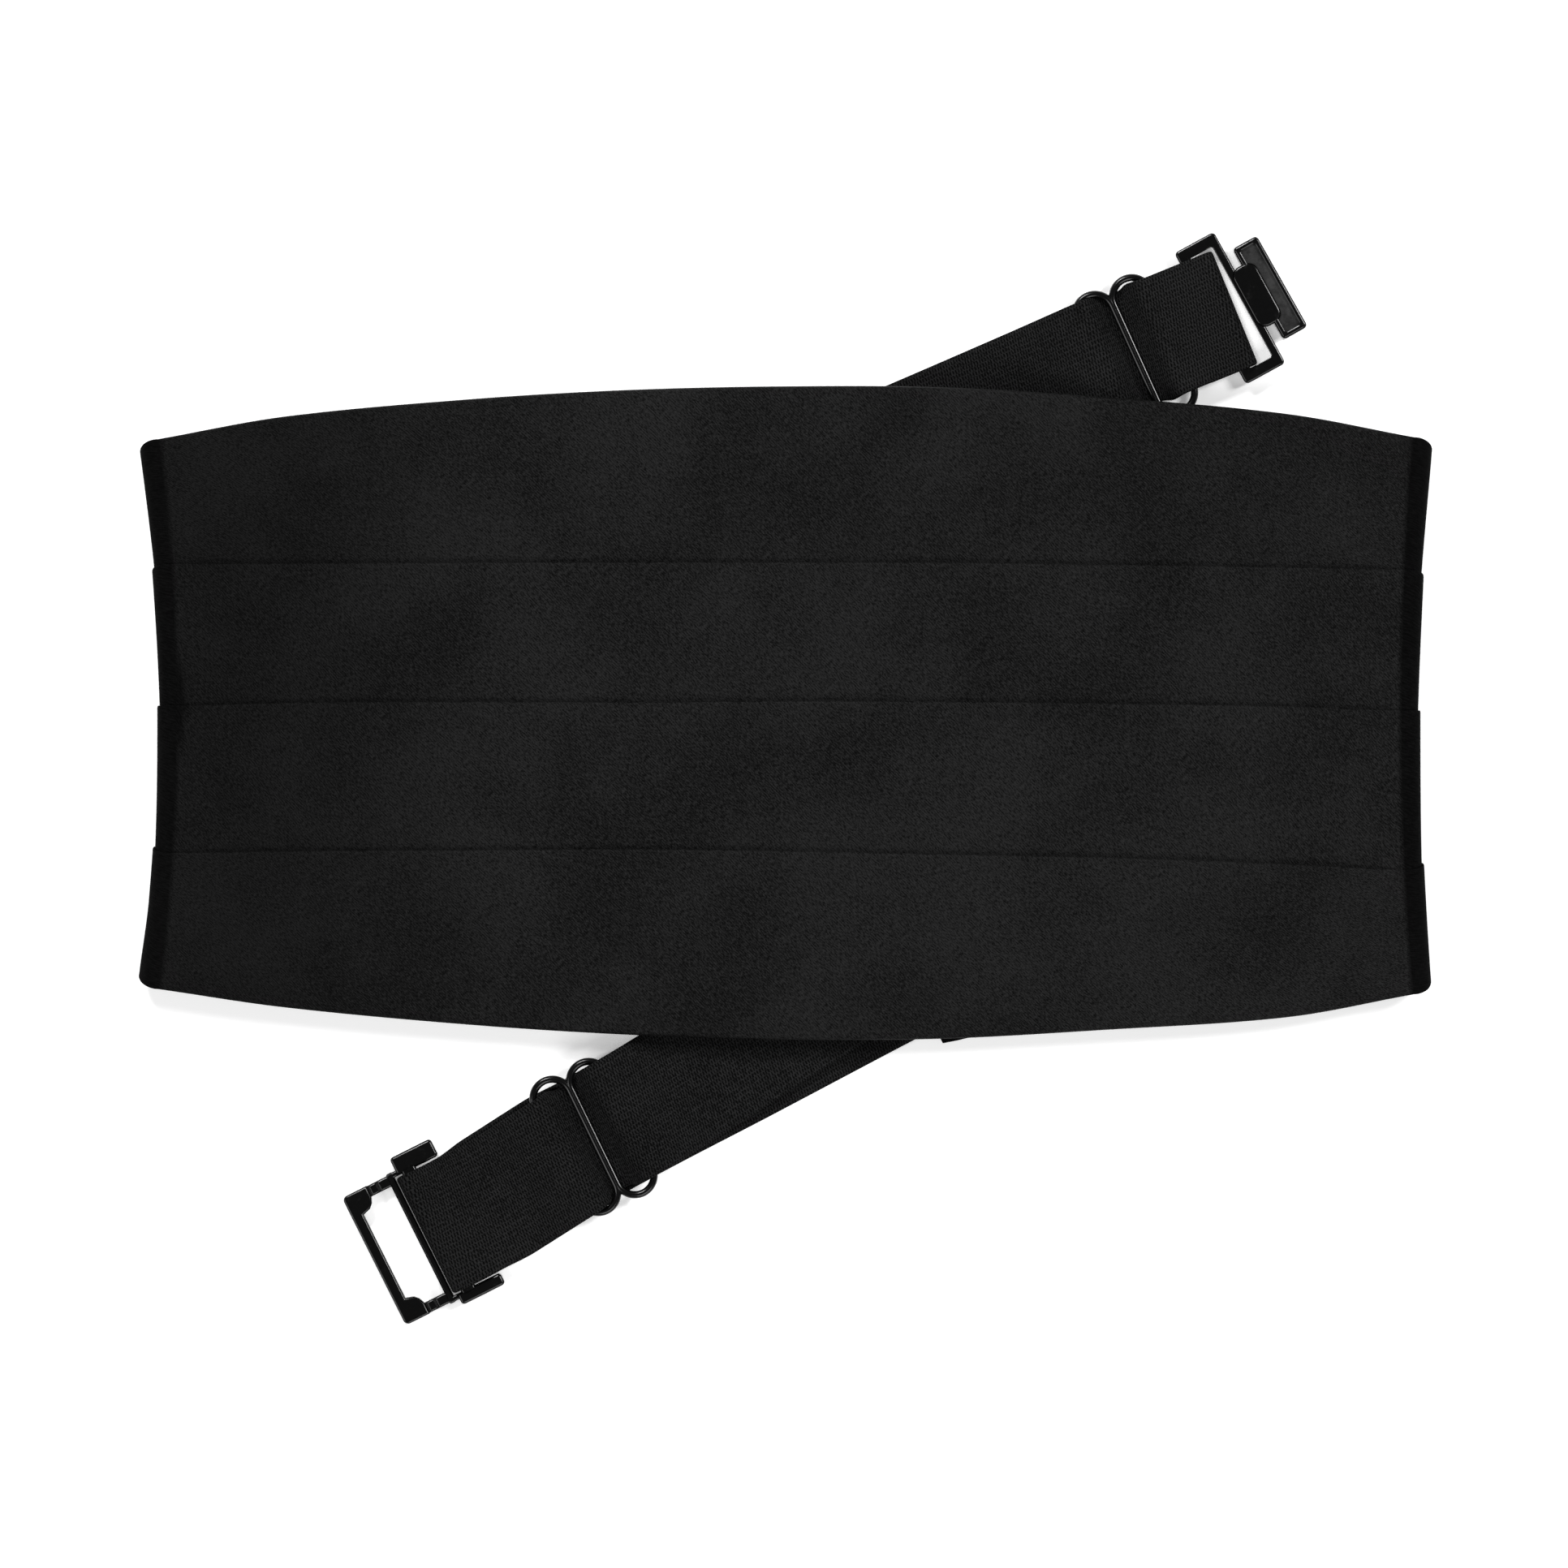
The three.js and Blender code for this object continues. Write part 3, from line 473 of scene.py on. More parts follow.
def satin_finish():
    """Black satin: slanting streaks of bright floats, with painted shade at its ends and to its
    left.
    """
    finish = Finish("black_satin")
    along, across = finish.cloth_map()
    twill_pitch = 0.6 * MM
    rib = ((along - across) * (2 * math.pi / twill_pitch)).sine() * 0.5 + 0.5
    streak = finish.streaks(along, across, 1400.0, 4400.0)
    coarse = finish.streaks(along, across, 420.0, 1300.0)
    slub = finish.speckle(3800.0, 3.0, 0.8).between(0.3, 0.7)
    cloud = finish.speckle(38.0, 4.0, 0.6).between(0.3, 0.7)
    # Painted shade: this share mixes the colour towards near black and raises the roughness
    painted_shade = finish.mark("painted_shade")
    weave = streak * 0.46 + coarse * 0.12 + slub * 0.28 + rib * 0.14
    tone = weave + cloud * 0.16 - 0.08
    black = (0.0018, 0.0018, 0.0018)
    grey = (0.015, 0.015, 0.0151)
    face = finish.mixed(tone.between(0.2, 0.86), black, grey)
    finish.surface(
        Base_Color=finish.mixed(painted_shade * 0.85, face, (0.0006, 0.0006, 0.0006)),
        Roughness=0.5 + slub * 0.14 - streak * 0.08 + painted_shade * 0.3,
        IOR=1.38,
        Specular_IOR_Level=0.04,
    )
    finish.bump(weave, 0.03 * MM, 0.5)
    return finish.material


def webbing_finish():
    """Black elastic webbing: rows along the strap, each crossed by short slots with painted shade.
    """
    finish = Finish("black_webbing")
    along, across = finish.cloth_map()
    row_pitch = 0.92 * MM
    slot_pitch = 0.56 * MM
    place = across / row_pitch + finish.speckle(500.0, 1.0, 0.5) * 0.16
    row = place.whole()
    bulge = (((place - row) * 2 - 1).size()) ** 3
    stagger = (row * 0.37).modulo(1.0)
    beat = (along / slot_pitch + stagger) * (2 * math.pi)
    # Slots between the yarns, sunk by the bump and given painted shade in the colour
    slots_and_shade = beat.sine().between(-0.1, 0.9) * (1 - bulge) * 0.8
    fuzz = finish.speckle(2400.0, 3.0, 0.7).between(0.3, 0.7)
    patch = finish.speckle(70.0, 3.0, 0.6)
    raised = 1 - slots_and_shade
    # Painted shade: the tone is darker in the slots and lighter on the raised yarn
    tone = raised * 0.56 + fuzz * 0.44 + (patch - 0.5) * 0.25
    black = (0.0004, 0.0004, 0.0004)
    grey = (0.0148, 0.0148, 0.015)
    finish.surface(
        Base_Color=finish.mixed(tone.between(0.4, 1.0), black, grey),
        Roughness=0.8 + fuzz * 0.12,
        Specular_IOR_Level=0.04,
    )
    finish.bump(raised + fuzz * 0.4, 0.12 * MM, 0.9)
    return finish.material


def wire_finish():
    """Black enamel on wire: glossy, slightly uneven."""
    finish = Finish("enamelled_wire")
    orange_peel = finish.speckle(900.0, 2.0, 0.5)
    worn = finish.speckle(160.0, 4.0, 0.65).between(0.62, 0.78)
    finish.surface(
        Base_Color=finish.mixed(worn, (0.0015, 0.0015, 0.0016), (0.005, 0.005, 0.005)),
        Roughness=0.17 + orange_peel * 0.06 + worn * 0.15,
        Specular_IOR_Level=0.3,
    )
    finish.bump(orange_peel, 0.02 * MM, 0.4)
    return finish.material


def plastic_finish():
    """Black moulded plastic: glossy, with fine scuffs."""
    finish = Finish("black_plastic")
    grain = finish.speckle(1500.0, 2.0, 0.5)
    scuff = finish.speckle(420.0, 5.0, 0.7).between(0.55, 0.75)
    finish.surface(
        Base_Color=finish.mixed(scuff, (0.001, 0.001, 0.00105), (0.0022, 0.0022, 0.0023)),
        Roughness=0.2 + grain * 0.06 + scuff * 0.15,
        Specular_IOR_Level=0.26,
    )
    finish.bump(grain + scuff, 0.015 * MM, 0.4)
    return finish.material


def worn_plastic_finish():
    """The hook's sunk face: matte, greyed and rubbed."""
    finish = Finish("worn_plastic")
    rub = finish.speckle(700.0, 5.0, 0.75)
    patch = finish.speckle(160.0, 3.0, 0.6)
    tone = (rub * 0.6 + patch * 0.6).between(0.45, 0.8)
    finish.surface(
        Base_Color=finish.mixed(tone, (0.003, 0.003, 0.003), (0.026, 0.026, 0.026)),
        Roughness=0.6 + rub * 0.2,
        Specular_IOR_Level=0.2,
    )
    finish.bump(rub, 0.05 * MM, 0.6)
    return finish.material


SATIN = satin_finish()
WEBBING = webbing_finish()
WIRE = wire_finish()
PLASTIC = plastic_finish()
WORN_PLASTIC = worn_plastic_finish()


# The band


def band_section():
    """Outline of the cloth: across from -2 to +2, one unit to a strip, and depth from its back."""
    nose_steps, back_steps, strip_steps = 8, 16, 12
    strip = HALF_HEIGHT / 2
    nose = FOLD_ROUND / strip
    pocket = POCKET_DEPTH / strip
    turn = [math.pi * (k + 0.5) / nose_steps for k in range(nose_steps)]
    back = [(4 - 2 * nose) * k / back_steps for k in range(back_steps + 1)]
    points = [(-2 + nose + run, 0.0) for run in back]
    for angle in turn:
        rise = (1 - math.cos(angle)) / 2
        points.append((2 - nose + nose * math.sin(angle), CLOTH_THICK * rise))
    for edge in (2, 1, 0, -1):
        last = edge == -1
        low = HEM_THICK if last else POCKET_FLOOR
        for k in range(strip_steps + 1):
            part = nose + (1 - nose * (2 if last else 1)) * k / strip_steps
            fall = math.cos(min(part, 1.0) * math.pi / 2)
            points.append((edge - part, lerp(low, CLOTH_THICK, fall)))
        if last:
            break
        points.append((edge - 1 - pocket / 2, POCKET_FLOOR))
        points.append((edge - 1 - pocket, POCKET_FLOOR))
        points.append((edge - 1 - pocket, POCKET_ROOF))
        points.append((edge - 1 - pocket / 2, POCKET_ROOF))
        for angle in turn:
            rise = (1 - math.cos(angle)) / 2
            depth = lerp(POCKET_ROOF, CLOTH_THICK, rise)
            points.append((edge - 1 - nose + nose * math.sin(angle), depth))
    for angle in turn:
        rise = (1 + math.cos(angle)) / 2
        points.append((-2 + nose - nose * math.sin(angle), HEM_THICK * rise))
    return points


def panel_row(at):
    """The panel's levels at a share of its length, from its lower edge up."""
    return [read_rows(name, at) * HALF_HEIGHT for name in LEVELS]


def waist_of(side, distance):
    """How far the middle of the panel is drawn in, at a distance from its end."""
    pull = ROLL_WAIST["left" if side < 0 else "right"]
    return pull * (1 - smoothstep(distance, 0.0, WAIST_REACH))


def bezier(points, share):
    """Point and direction on a cubic through its four guide points."""
    a, b, c, d = points
    s = 1 - share
    point = a * s**3 + b * (3 * s * s * share) + c * (3 * s * share**2) + d * share**3
    ahead = (b - a) * s * s + (c - b) * (2 * s * share) + (d - c) * share**2
    return point, ahead.normalized()


def tail_stations(side, end, end_heading, row):
    """The tail behind the panel, from the roll to where the webbing laps it."""
    start = Vector((side * ROLL_AXIS_X, 0.0, 0.0))
    reach = (end - start).length * TAIL_CURVE
    ahead = Vector((-side * reach, 0.0, 0.0))
    guide = (start, start + ahead, end - end_heading * reach, end)
    fine = [bezier(guide, k / GUIDE_STEPS)[0] for k in range(GUIDE_STEPS + 1)]
    run = [0.0]
    for before, after in zip(fine, fine[1:]):
        run.append(run[-1] + (after - before).length)
    length = run[-1]
    end_scale = TAIL_END_WIDTH / (row[4] - row[0])
    lap = LAP_LENGTH / length
    thinning = (TAIL_THINNING[0] - 3 * lap, TAIL_THINNING[1] - lap)
    count = 42
    stations = []
    for step in range(1, count + 1):
        share = step / count
        k = next(n for n in range(GUIDE_STEPS + 1) if run[n] >= share * length - 1e-6)
        point, ahead = bezier(guide, k / GUIDE_STEPS)
        thick = lerp(CLOTH_THICK, TAIL_END_THICK, smoothstep(share, *thinning))
        scale = lerp(ROLL_NARROWING["tail"], end_scale, share)
        stations.append(
            {
                "centre": Vector((point.x, point.y, thick)),
                "across": Vector((side * ahead.y, -side * ahead.x, 0.0)),
                "face": Vector((0.0, 0.0, -1.0)),
                "thin": thick / CLOTH_THICK,
                "levels": [level * scale for level in row],
                "waist": ahead * waist_of(side, share * length),
                "press": ROLL_PRESS,
            }
        )
    return stations


def roll_stations(side, row):
    """The half turn at an end of the band, from the panel to its tail."""
    count = 24
    stations = []
    for step in range(count + 1):
        angle = math.pi * step / count
        face = Vector((side * math.sin(angle), 0.0, math.cos(angle)))
        early = 2 * math.sin(min(angle, math.pi / 2) / 2) ** 2
        late = max(angle / (math.pi / 2) - 1, 0.0)
        narrow = lerp(1, ROLL_NARROWING["outermost"], early)
        narrow = lerp(narrow, ROLL_NARROWING["tail"], late)
        axis = Vector((side * ROLL_AXIS_X, 0.0, ROLL_CENTRE_Z))
        stations.append(
            {
                "centre": axis + face * ROLL_INNER,
                "across": Vector((0.0, 1.0, 0.0)),
                "face": face,
                "thin": 1.0,
                "levels": [level * narrow for level in row],
                "waist": Vector((-side * waist_of(side, 0.0), 0.0, 0.0)),
                "splay": ROLL_SPLAY * (1 - late) * early if side < 0 else 0.0,
                "press": ROLL_PRESS,
            }
        )
    return stations


def panel_stations():
    """The panel, from its left end to its right one."""
    count = 240
    stations = []
    for step in range(1, count):
        at = -1 + 2 * step / count
        x = at * ROLL_AXIS_X
        pull = waist_of(-1, ROLL_AXIS_X + x) - waist_of(1, ROLL_AXIS_X - x)
        near_roll = smoothstep(abs(x), ROLL_AXIS_X - PRESS_REACH, ROLL_AXIS_X)
        stations.append(
            {
                "centre": Vector((x, 0.0, PANEL_UNDERSIDE)),
                "across": Vector((0.0, 1.0, 0.0)),
                "face": Vector((0.0, 0.0, 1.0)),
                "thin": 1.0,
                "levels": panel_row(at),
                "waist": Vector((pull, 0.0, 0.0)),
                "press": lerp(1, ROLL_PRESS, near_roll),
                "on_panel": True,
            }
        )
    return stations


def ripple(x, across):
    """Small ripples of the upper strip towards both its ends."""
    along = x / ROLL_AXIS_X
    left = math.sin(along * RIPPLE_TURNS["left"]) ** 2
    left *= 1 - smoothstep(along, *RIPPLE_FADES["left"])
    right = math.sin(along * RIPPLE_TURNS["right"]) ** 2
    right *= smoothstep(along, *RIPPLE_FADES["right"])
    ends = 1 - smoothstep(abs(along), *RIPPLE_FADES["ends"])
    return RIPPLE_HEIGHT * (left + right) * ends * smoothstep(across, *RIPPLE_STRIP)


def swell(x, y):
    """Soft rise of the face at a place on the panel."""
    total = 0.0
    for mark in SWELLS:
        far = ((x - mark["x"]) / mark["along"]) ** 2 + ((y - mark["y"]) / mark["across"]) ** 2
        total += mark["rise"] * math.exp(-far)
    for wave in WAVES:
        place = Vector((x / wave["along"], y / wave["across"], wave["slice"]))
        total += noise.noise(place) * wave["rise"]
    return total


def pressed(depth, press):
    """Depth where the pleats are pressed flatter, down to a share of a step."""
    raised = lerp(CLOTH_THICK, POCKET_FLOOR, press)
    if depth > POCKET_FLOOR:
        share = (depth - POCKET_FLOOR) / (CLOTH_THICK - POCKET_FLOOR)
        return lerp(raised, CLOTH_THICK, share)
    return depth / POCKET_FLOOR * raised


def painted_shade_share(mark, station):
    """Painted shade of the satin: 1 round its ends, fading in near them, and a dimming to the left.
    """
    if not station.get("on_panel"):
        return 1.0
    point = band_point(mark, station)
    side = -1 if point.x < 0 else 1
    edge = read_edge(PAINTED_DARK_ENDS[side], point.y)
    # Painted shade that dims the panel's colour towards its left
    left_shade = PAINTED_LEFT_SHADE * smoothstep(-point.x, *PAINTED_LEFT_SHADE_SPAN)
    return max(smoothstep(side * point.x, edge + PAINTED_DARK_FADE[0], edge + PAINTED_DARK_FADE[1]), left_shade)


def read_edge(rows, y):
    """Where the painted shade of the panel's dark end begins at a height, between a table's rows.
    """
    for before, after in zip(rows, rows[1:]):
        if y >= after["y"]:
            return lerp(before["x"], after["x"], (y - before["y"]) / (after["y"] - before["y"]))
    return rows[-1]["x"]


def band_point(mark, station):
    """Place of a mark of the band's section at a station."""
    across, depth = mark
    strip = min(int(across + 2), 3)
    part = across + 2 - strip
    levels = station["levels"]
    offset = lerp(levels[strip], levels[strip + 1], part)
    middle = (levels[0] + levels[4]) / 2
    share = 2 * (offset - middle) / (levels[4] - levels[0])
    point = station["centre"] + station["across"] * offset
    point += station["face"] * (pressed(depth, station["press"]) * station["thin"])
    point += station["waist"] * (1 - share * share)
    point.x -= station.get("splay", 0.0) * smoothstep(-share, SPLAY_FROM, 1.0)
    if station.get("on_panel"):
        x = station["centre"].x
        ends = 1 - smoothstep(abs(x) / ROLL_AXIS_X, SWELLS_END, 1.0)
        rise = swell(x, offset) * ends * (depth / CLOTH_THICK)
        point.z += ripple(x, across) + rise
    return point


def pleated_band(hook_side, eye_side):
    left, right = panel_row(-1.0), panel_row(1.0)
    stations = []
    stations += reversed(tail_stations(-1, hook_side["tail"], hook_side["heading"], left))
    stations += reversed(roll_stations(-1, left))
    stations += panel_stations()
    stations += roll_stations(1, right)
    stations += tail_stations(1, eye_side["tail"], eye_side["heading"], right)
    section = band_section()
    # The band's colour carries painted shade round its ends and towards its left
    piece = swept("satin_band", section, stations, band_point, SATIN, painted_shade_share)
    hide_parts("pleated_band")
    run, area = 0.0, 0.0
    for before, after in zip(stations, stations[1:]):
        step = (after["centre"] - before["centre"]).length * MM
        width = (after["levels"][4] - after["levels"][0] + PLEAT_CLOTH) * MM
        run, area = run + step, area + step * width


# The straps


def catmull_rom(points):
    """Fine points on a centripetal curve through the guide points."""
    steps = 200
    first, last = points[0] * 2 - points[1], points[-1] * 2 - points[-2]
    guides = [first, *points, last]
    fine = []
    for k in range(len(points) - 1):
        p = guides[k : k + 4]
        gaps = [max((b - a).length_squared, 1e-9) ** 0.25 for a, b in zip(p, p[1:])]
        chord = (p[2] - p[1]) / gaps[1]
        slope_a = (p[1] - p[0]) / gaps[0] - (p[2] - p[0]) / (gaps[0] + gaps[1]) + chord
        slope_b = chord - (p[3] - p[1]) / (gaps[1] + gaps[2]) + (p[3] - p[2]) / gaps[2]
        slope_a, slope_b = slope_a * gaps[1], slope_b * gaps[1]
        for step in range(steps):
            t = step / steps
            bend = p[1] * (2 * t**3 - 3 * t * t + 1) + slope_a * (t**3 - 2 * t * t + t)
            fine.append(bend + p[2] * (3 * t * t - 2 * t**3) + slope_b * (t**3 - t * t))
    fine.append(points[-1].copy())
    return fine


def strap_plan(tail_end, slider_run, slider_heading, fold_run, fold_heading, end_heading):
    """The strap's plan, from the end of its tail past its slider to the fold at its clasp."""
    tail = Vector((tail_end[0] * ROLL_AXIS_X, tail_end[1] * HALF_HEIGHT, 0.0))
    slider = tail + heading(slider_heading) * slider_run
    fold = slider + heading(fold_heading) * fold_run
    straight = fold - heading(end_heading) * (fold_run / 4)
    begin = tail - heading(slider_heading) * LAP_LENGTH
    fine = catmull_rom([begin, tail, tail.lerp(slider, 0.5), slider, straight, fold])
    run = [0.0]
    for before, after in zip(fine, fine[1:]):
        run.append(run[-1] + (after - before).length)
    return {
        "tail": tail,
        "heading": heading(slider_heading),
        "slider": slider,
        "fold": fold,
        "fine": fine,
        "run": run,
        "length": run[-1],
        "slider_at": run[-1] - fold_run,
    }


def plan_at(plan, distance):
    """Point, direction and left-hand direction at a distance along the plan."""
    run, fine = plan["run"], plan["fine"]
    inside = min(max(distance, 0.0), plan["length"])
    low, high = 0, len(run) - 1
    while high - low > 1:
        half = (low + high) // 2
        low, high = (half, high) if run[half] <= inside else (low, half)
    ahead = (fine[high] - fine[low]).normalized()
    point = fine[low] + ahead * (distance - run[low])
    return point, ahead, Vector((-ahead.y, ahead.x, 0.0))


def ramp_height(distance, low):
    """Height of a ply that comes down off its tail."""
    down = smoothstep(distance, LAP_LENGTH + CLEARANCE, LAP_LENGTH + CLEARANCE + RAMP_LENGTH)
    return low + (TAIL_PLY - FLOOR_PLY) * (1 - down)


def slider_lift(distance, plan, rest, bar):
    """Rise of a ply that passes under the slider's middle bar and over its outer bars."""
    away = abs(distance - plan["slider_at"])
    up = smoothstep(away, WIRE_RADIUS + LIFT_START, SLIDER_REACH - LIFT_LEAD)
    down = 1 - smoothstep(away, SLIDER_REACH, SLIDER_REACH + LIFT_FADE)
    over = bar + WIRE_RADIUS + CLEARANCE + FLOOR_PLY
    return (over - rest) * min(up, down)


def pinch(distance, plan):
    """How much narrower the webbing is at the slider's middle bar."""
    away = abs(distance - plan["slider_at"])
    return WEB_PINCH * (1 - smoothstep(away, 2 * WIRE_RADIUS, LOOP_RADIUS))


def strap_mark(plan, distance, height, width, sideways=0.0):
    point, _, left = plan_at(plan, distance)
    point = point + left * sideways
    point.z = height
    return {"centre": point, "left": left, "width": width}


def turn_marks(plan, upward, width):
    """The half turn round a clasp's crossbar, from one ply to the other."""
    point, ahead, left = plan_at(plan, plan["length"])
    steps = 20
    marks = []
    for step in range(1, steps):
        angle = math.pi * step / steps
        rise = (-1 if upward else 1) * math.cos(angle) * TURN_RADIUS
        centre = point + ahead * (math.sin(angle) * TURN_RADIUS - TURN_REACH)
        centre.z = FLOOR_PLY + TURN_RADIUS + rise
        marks.append({"centre": centre, "left": left, "width": width})
    return marks


def spaced(start, end):
    count = round(abs(end - start) / WEB_SPACING)
    return [lerp(start, end, k / count) for k in range(count + 1)]


def web_section():
    """Outline of the webbing: across from -0.5 to 0.5 and depth about its middle."""
    face_steps, edge_steps = 24, 6
    edge = WEB_THICK / WEB_WIDTH / 2
    points = []
    for k in range(face_steps + 1):
        points.append((lerp(-0.5 + edge, 0.5 - edge, k / face_steps), -WEB_THICK / 2))
    for k in range(1, edge_steps):
        angle = math.pi * k / edge_steps
        points.append((0.5 - edge + edge * math.sin(angle), -math.cos(angle) * WEB_THICK / 2))
    return points + [(-across, -depth) for across, depth in points]


def web_point(mark, station):
    """Place of a mark of the webbing's section at a station."""
    across, depth = mark
    point = station["centre"] + station["left"] * (across * station["width"])
    return point + station["up"] * depth


def ribbon(name, marks, node):
    """The webbing through its marks, and the length of its route."""
    for i, mark in enumerate(marks):
        before, after = marks[max(i - 1, 0)], marks[min(i + 1, len(marks) - 1)]
        along = (after["centre"] - before["centre"]).normalized()
        mark["up"] = along.cross(mark["left"]).normalized()
    piece = swept(name, web_section(), marks, web_point, WEBBING)
    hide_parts(node)
    run = sum((b["centre"] - a["centre"]).length for a, b in zip(marks, marks[1:]))
    return piece, run


def eye_strap(plan):
    """Two plies: out along the floor, round the crossbar, back through the slider.

    Gives back the height of the slider's bars, as the hook's strap does."""
    turn_at = plan["length"] - TURN_REACH
    rest = FLOOR_PLY + PLY_PITCH
    bar = rest + FLOOR_PLY + CLEARANCE + WIRE_RADIUS
    ears = plan["length"] - EYE_EAR_LENGTH

    def slip(d):
        begin = smoothstep(d, plan["slider_at"], plan["slider_at"] + SLIDER_REACH)
        return EYE_PLY_SLIP * begin * (1 - smoothstep(d, ears - EYE_SLIP_FADE, ears))

    marks = []
    for d in spaced(0.0, turn_at):
        marks.append(strap_mark(plan, d, ramp_height(d, FLOOR_PLY), WEB_WIDTH, -slip(d)))
    marks += turn_marks(plan, True, WEB_WIDTH)
    for d in spaced(turn_at, 0.0):
        drift = EYE_DRIFT * (1 - smoothstep(d, LAP_LENGTH, plan["slider_at"]))
        hold = smoothstep(d, turn_at - 2 * FOLD_HOLD, turn_at - FOLD_HOLD / 2)
        lift = slider_lift(d, plan, rest, bar) + (LOOP_PLY - rest) * hold
        height = ramp_height(d, rest) + lift
        marks.append(strap_mark(plan, d, height, WEB_WIDTH - pinch(d, plan), slip(d) - drift))
    piece, run = ribbon("eye_side_webbing", marks, "strap_eye_side")
    return bar


def hook_strap(plan):
    """One ply from the tail through the slider and round the crossbar, with a short hem."""
    turn_at = plan["length"] - TURN_REACH
    bar = WEB_THICK + CLEARANCE + WIRE_RADIUS
    outer = plan["slider_at"] + SLIDER_REACH

    def width(d):
        return WEB_WIDTH - HOOK_PINCH * smoothstep(d, plan["slider_at"], outer)

    marks = []
    for d in spaced(0.0, turn_at):
        threaded = slider_lift(d, plan, FLOOR_PLY, bar)
        rise = smoothstep(d, plan["slider_at"] + HELD_MARGIN, outer - HELD_MARGIN)
        held = (LOOP_PLY - FLOOR_PLY) * rise
        past = smoothstep(d, outer, outer + HELD_FADE)
        lift = lerp(threaded, held, past) if d > plan["slider_at"] else threaded
        height = ramp_height(d, FLOOR_PLY) + lift
        marks.append(strap_mark(plan, d, height, width(d) - pinch(d, plan)))
    marks += turn_marks(plan, False, width(turn_at))
    for d in spaced(turn_at, turn_at - HOOK_HEM + TURN_REACH):
        marks.append(strap_mark(plan, d, FLOOR_PLY, width(d)))
    piece, run = ribbon("hook_side_webbing", marks, "strap_hook_side")
    return bar


# The sliders


def wire_loop(mesh, offset):
    """A ring of wire spun round, then parted into a long loop with straight sides."""
    half_step = math.pi / LOOP_STEPS
    start = Matrix.Rotation(half_step, 4, "Z") @ Matrix.Translation((LOOP_RADIUS, 0, 0))
    upright = start @ Matrix.Rotation(math.pi / 2, 4, "X")
    size = {"segments": WIRE_SIDES, "radius": WIRE_RADIUS}
    ring = bmesh.ops.create_circle(mesh, matrix=upright, **size)["verts"]
    bmesh.ops.spin(
        mesh,
        geom=ring + list({e for v in ring for e in v.link_edges}),
        cent=(0, 0, 0),
        axis=(0, 0, 1),
        angle=2 * math.pi,
        steps=LOOP_STEPS,
        use_merge=True,
    )
    for vert in mesh.verts:
        if not vert.tag:
            vert.co.y += LOOP_HALF if vert.co.y > 0 else -LOOP_HALF
            vert.co.x += offset
            vert.tag = True


def slider(name, node, centre, height, turn, slip):
    """Two loops of wire side by side, which share the middle bar."""
    mesh = bmesh.new()
    for offset in (-LOOP_OFFSET, LOOP_OFFSET):
        wire_loop(mesh, offset)
    bmesh.ops.remove_doubles(mesh, verts=mesh.verts, dist=1e-4)
    place = centre + heading(turn + math.pi / 2) * slip + SHIFT
    place.z = height
    seat = Matrix.Translation(place) @ Matrix.Rotation(turn, 4, "Z")
    bmesh.ops.transform(mesh, matrix=Matrix.Diagonal((MM, MM, MM, 1.0)) @ seat, verts=mesh.verts)
    bmesh.ops.recalc_face_normals(mesh, faces=mesh.faces)
    piece = finished(name, mesh, WIRE)
    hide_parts(node)


# The clasps: +X points away from the band and 0 is at the webbing's fold


def arc(x, y, radius, start, end):
    """Points round a corner, between two angles in degrees."""
    shares = [k / CORNER_STEPS for k in range(CORNER_STEPS + 1)]
    angles = [math.radians(lerp(start, end, share)) for share in shares]
    return [(x + radius * math.cos(a), y + radius * math.sin(a)) for a in angles]


def rounded_box(x0, y0, x1, y1, radius):
    """Outline of a box with round corners."""
    return [
        *arc(x1 - radius, y0 + radius, radius, -90, 0),
        *arc(x1 - radius, y1 - radius, radius, 0, 90),
        *arc(x0 + radius, y1 - radius, radius, 90, 180),
        *arc(x0 + radius, y0 + radius, radius, 180, 270),
    ]


def slab(outline, low, high, edge, glint=GLINT_WIDTH):
    """A plate of one outline from low to high. Its upper rim is sloped, with a glinting line."""
    mesh = bmesh.new()
    face = mesh.faces.new([mesh.verts.new((x, y, low)) for x, y in outline])
    raised = bmesh.ops.extrude_face_region(mesh, geom=[face], use_keep_orig=True)["geom"]
    top = next(item for item in raised if isinstance(item, bmesh.types.BMFace))
    bmesh.ops.translate(mesh, vec=(0, 0, high - low - edge - GLINT_RISE), verts=top.verts)
    bmesh.ops.recalc_face_normals(mesh, faces=mesh.faces)
    even = {"use_boundary": True, "use_even_offset": True}
    for wide, rise in ((edge, edge), (glint, GLINT_RISE)):
        bmesh.ops.inset_region(mesh, faces=[top], thickness=wide, **even)
        bmesh.ops.translate(mesh, vec=(0, 0, rise), verts=top.verts)
    return mesh


def hollow(x0, y0, x1, y1, radius, low, mouth):
    """A cutter with straight walls that opens out in a narrow slope at its mouth."""
    mesh = bmesh.new()
    outline = rounded_box(x0, y0, x1, y1, radius)
    top = mesh.faces.new([mesh.verts.new((x, y, low)) for x, y in outline])
    middle = Matrix.Translation((-(x0 + x1) / 2, -(y0 + y1) / 2, 0))
    open_out = (1 + 2 * GLINT_WIDTH / (x1 - x0), 1 + 2 * GLINT_WIDTH / (y1 - y0), 1)
    wall, same = mouth - low - GLINT_RISE, (1, 1, 1)
    steps = ((wall, same), (GLINT_RISE, open_out), (CUTTER_SPARE, same))
    for step, (rise, scale) in enumerate(steps):
        raised = bmesh.ops.extrude_face_region(mesh, geom=[top], use_keep_orig=True)["geom"]
        if step:
            bmesh.ops.delete(mesh, geom=[top], context="FACES_ONLY")
        top = next(item for item in raised if isinstance(item, bmesh.types.BMFace))
        bmesh.ops.translate(mesh, vec=(0, 0, rise), verts=top.verts)
        bmesh.ops.scale(mesh, vec=scale, space=middle, verts=top.verts)
    bmesh.ops.recalc_face_normals(mesh, faces=mesh.faces)
    return mesh


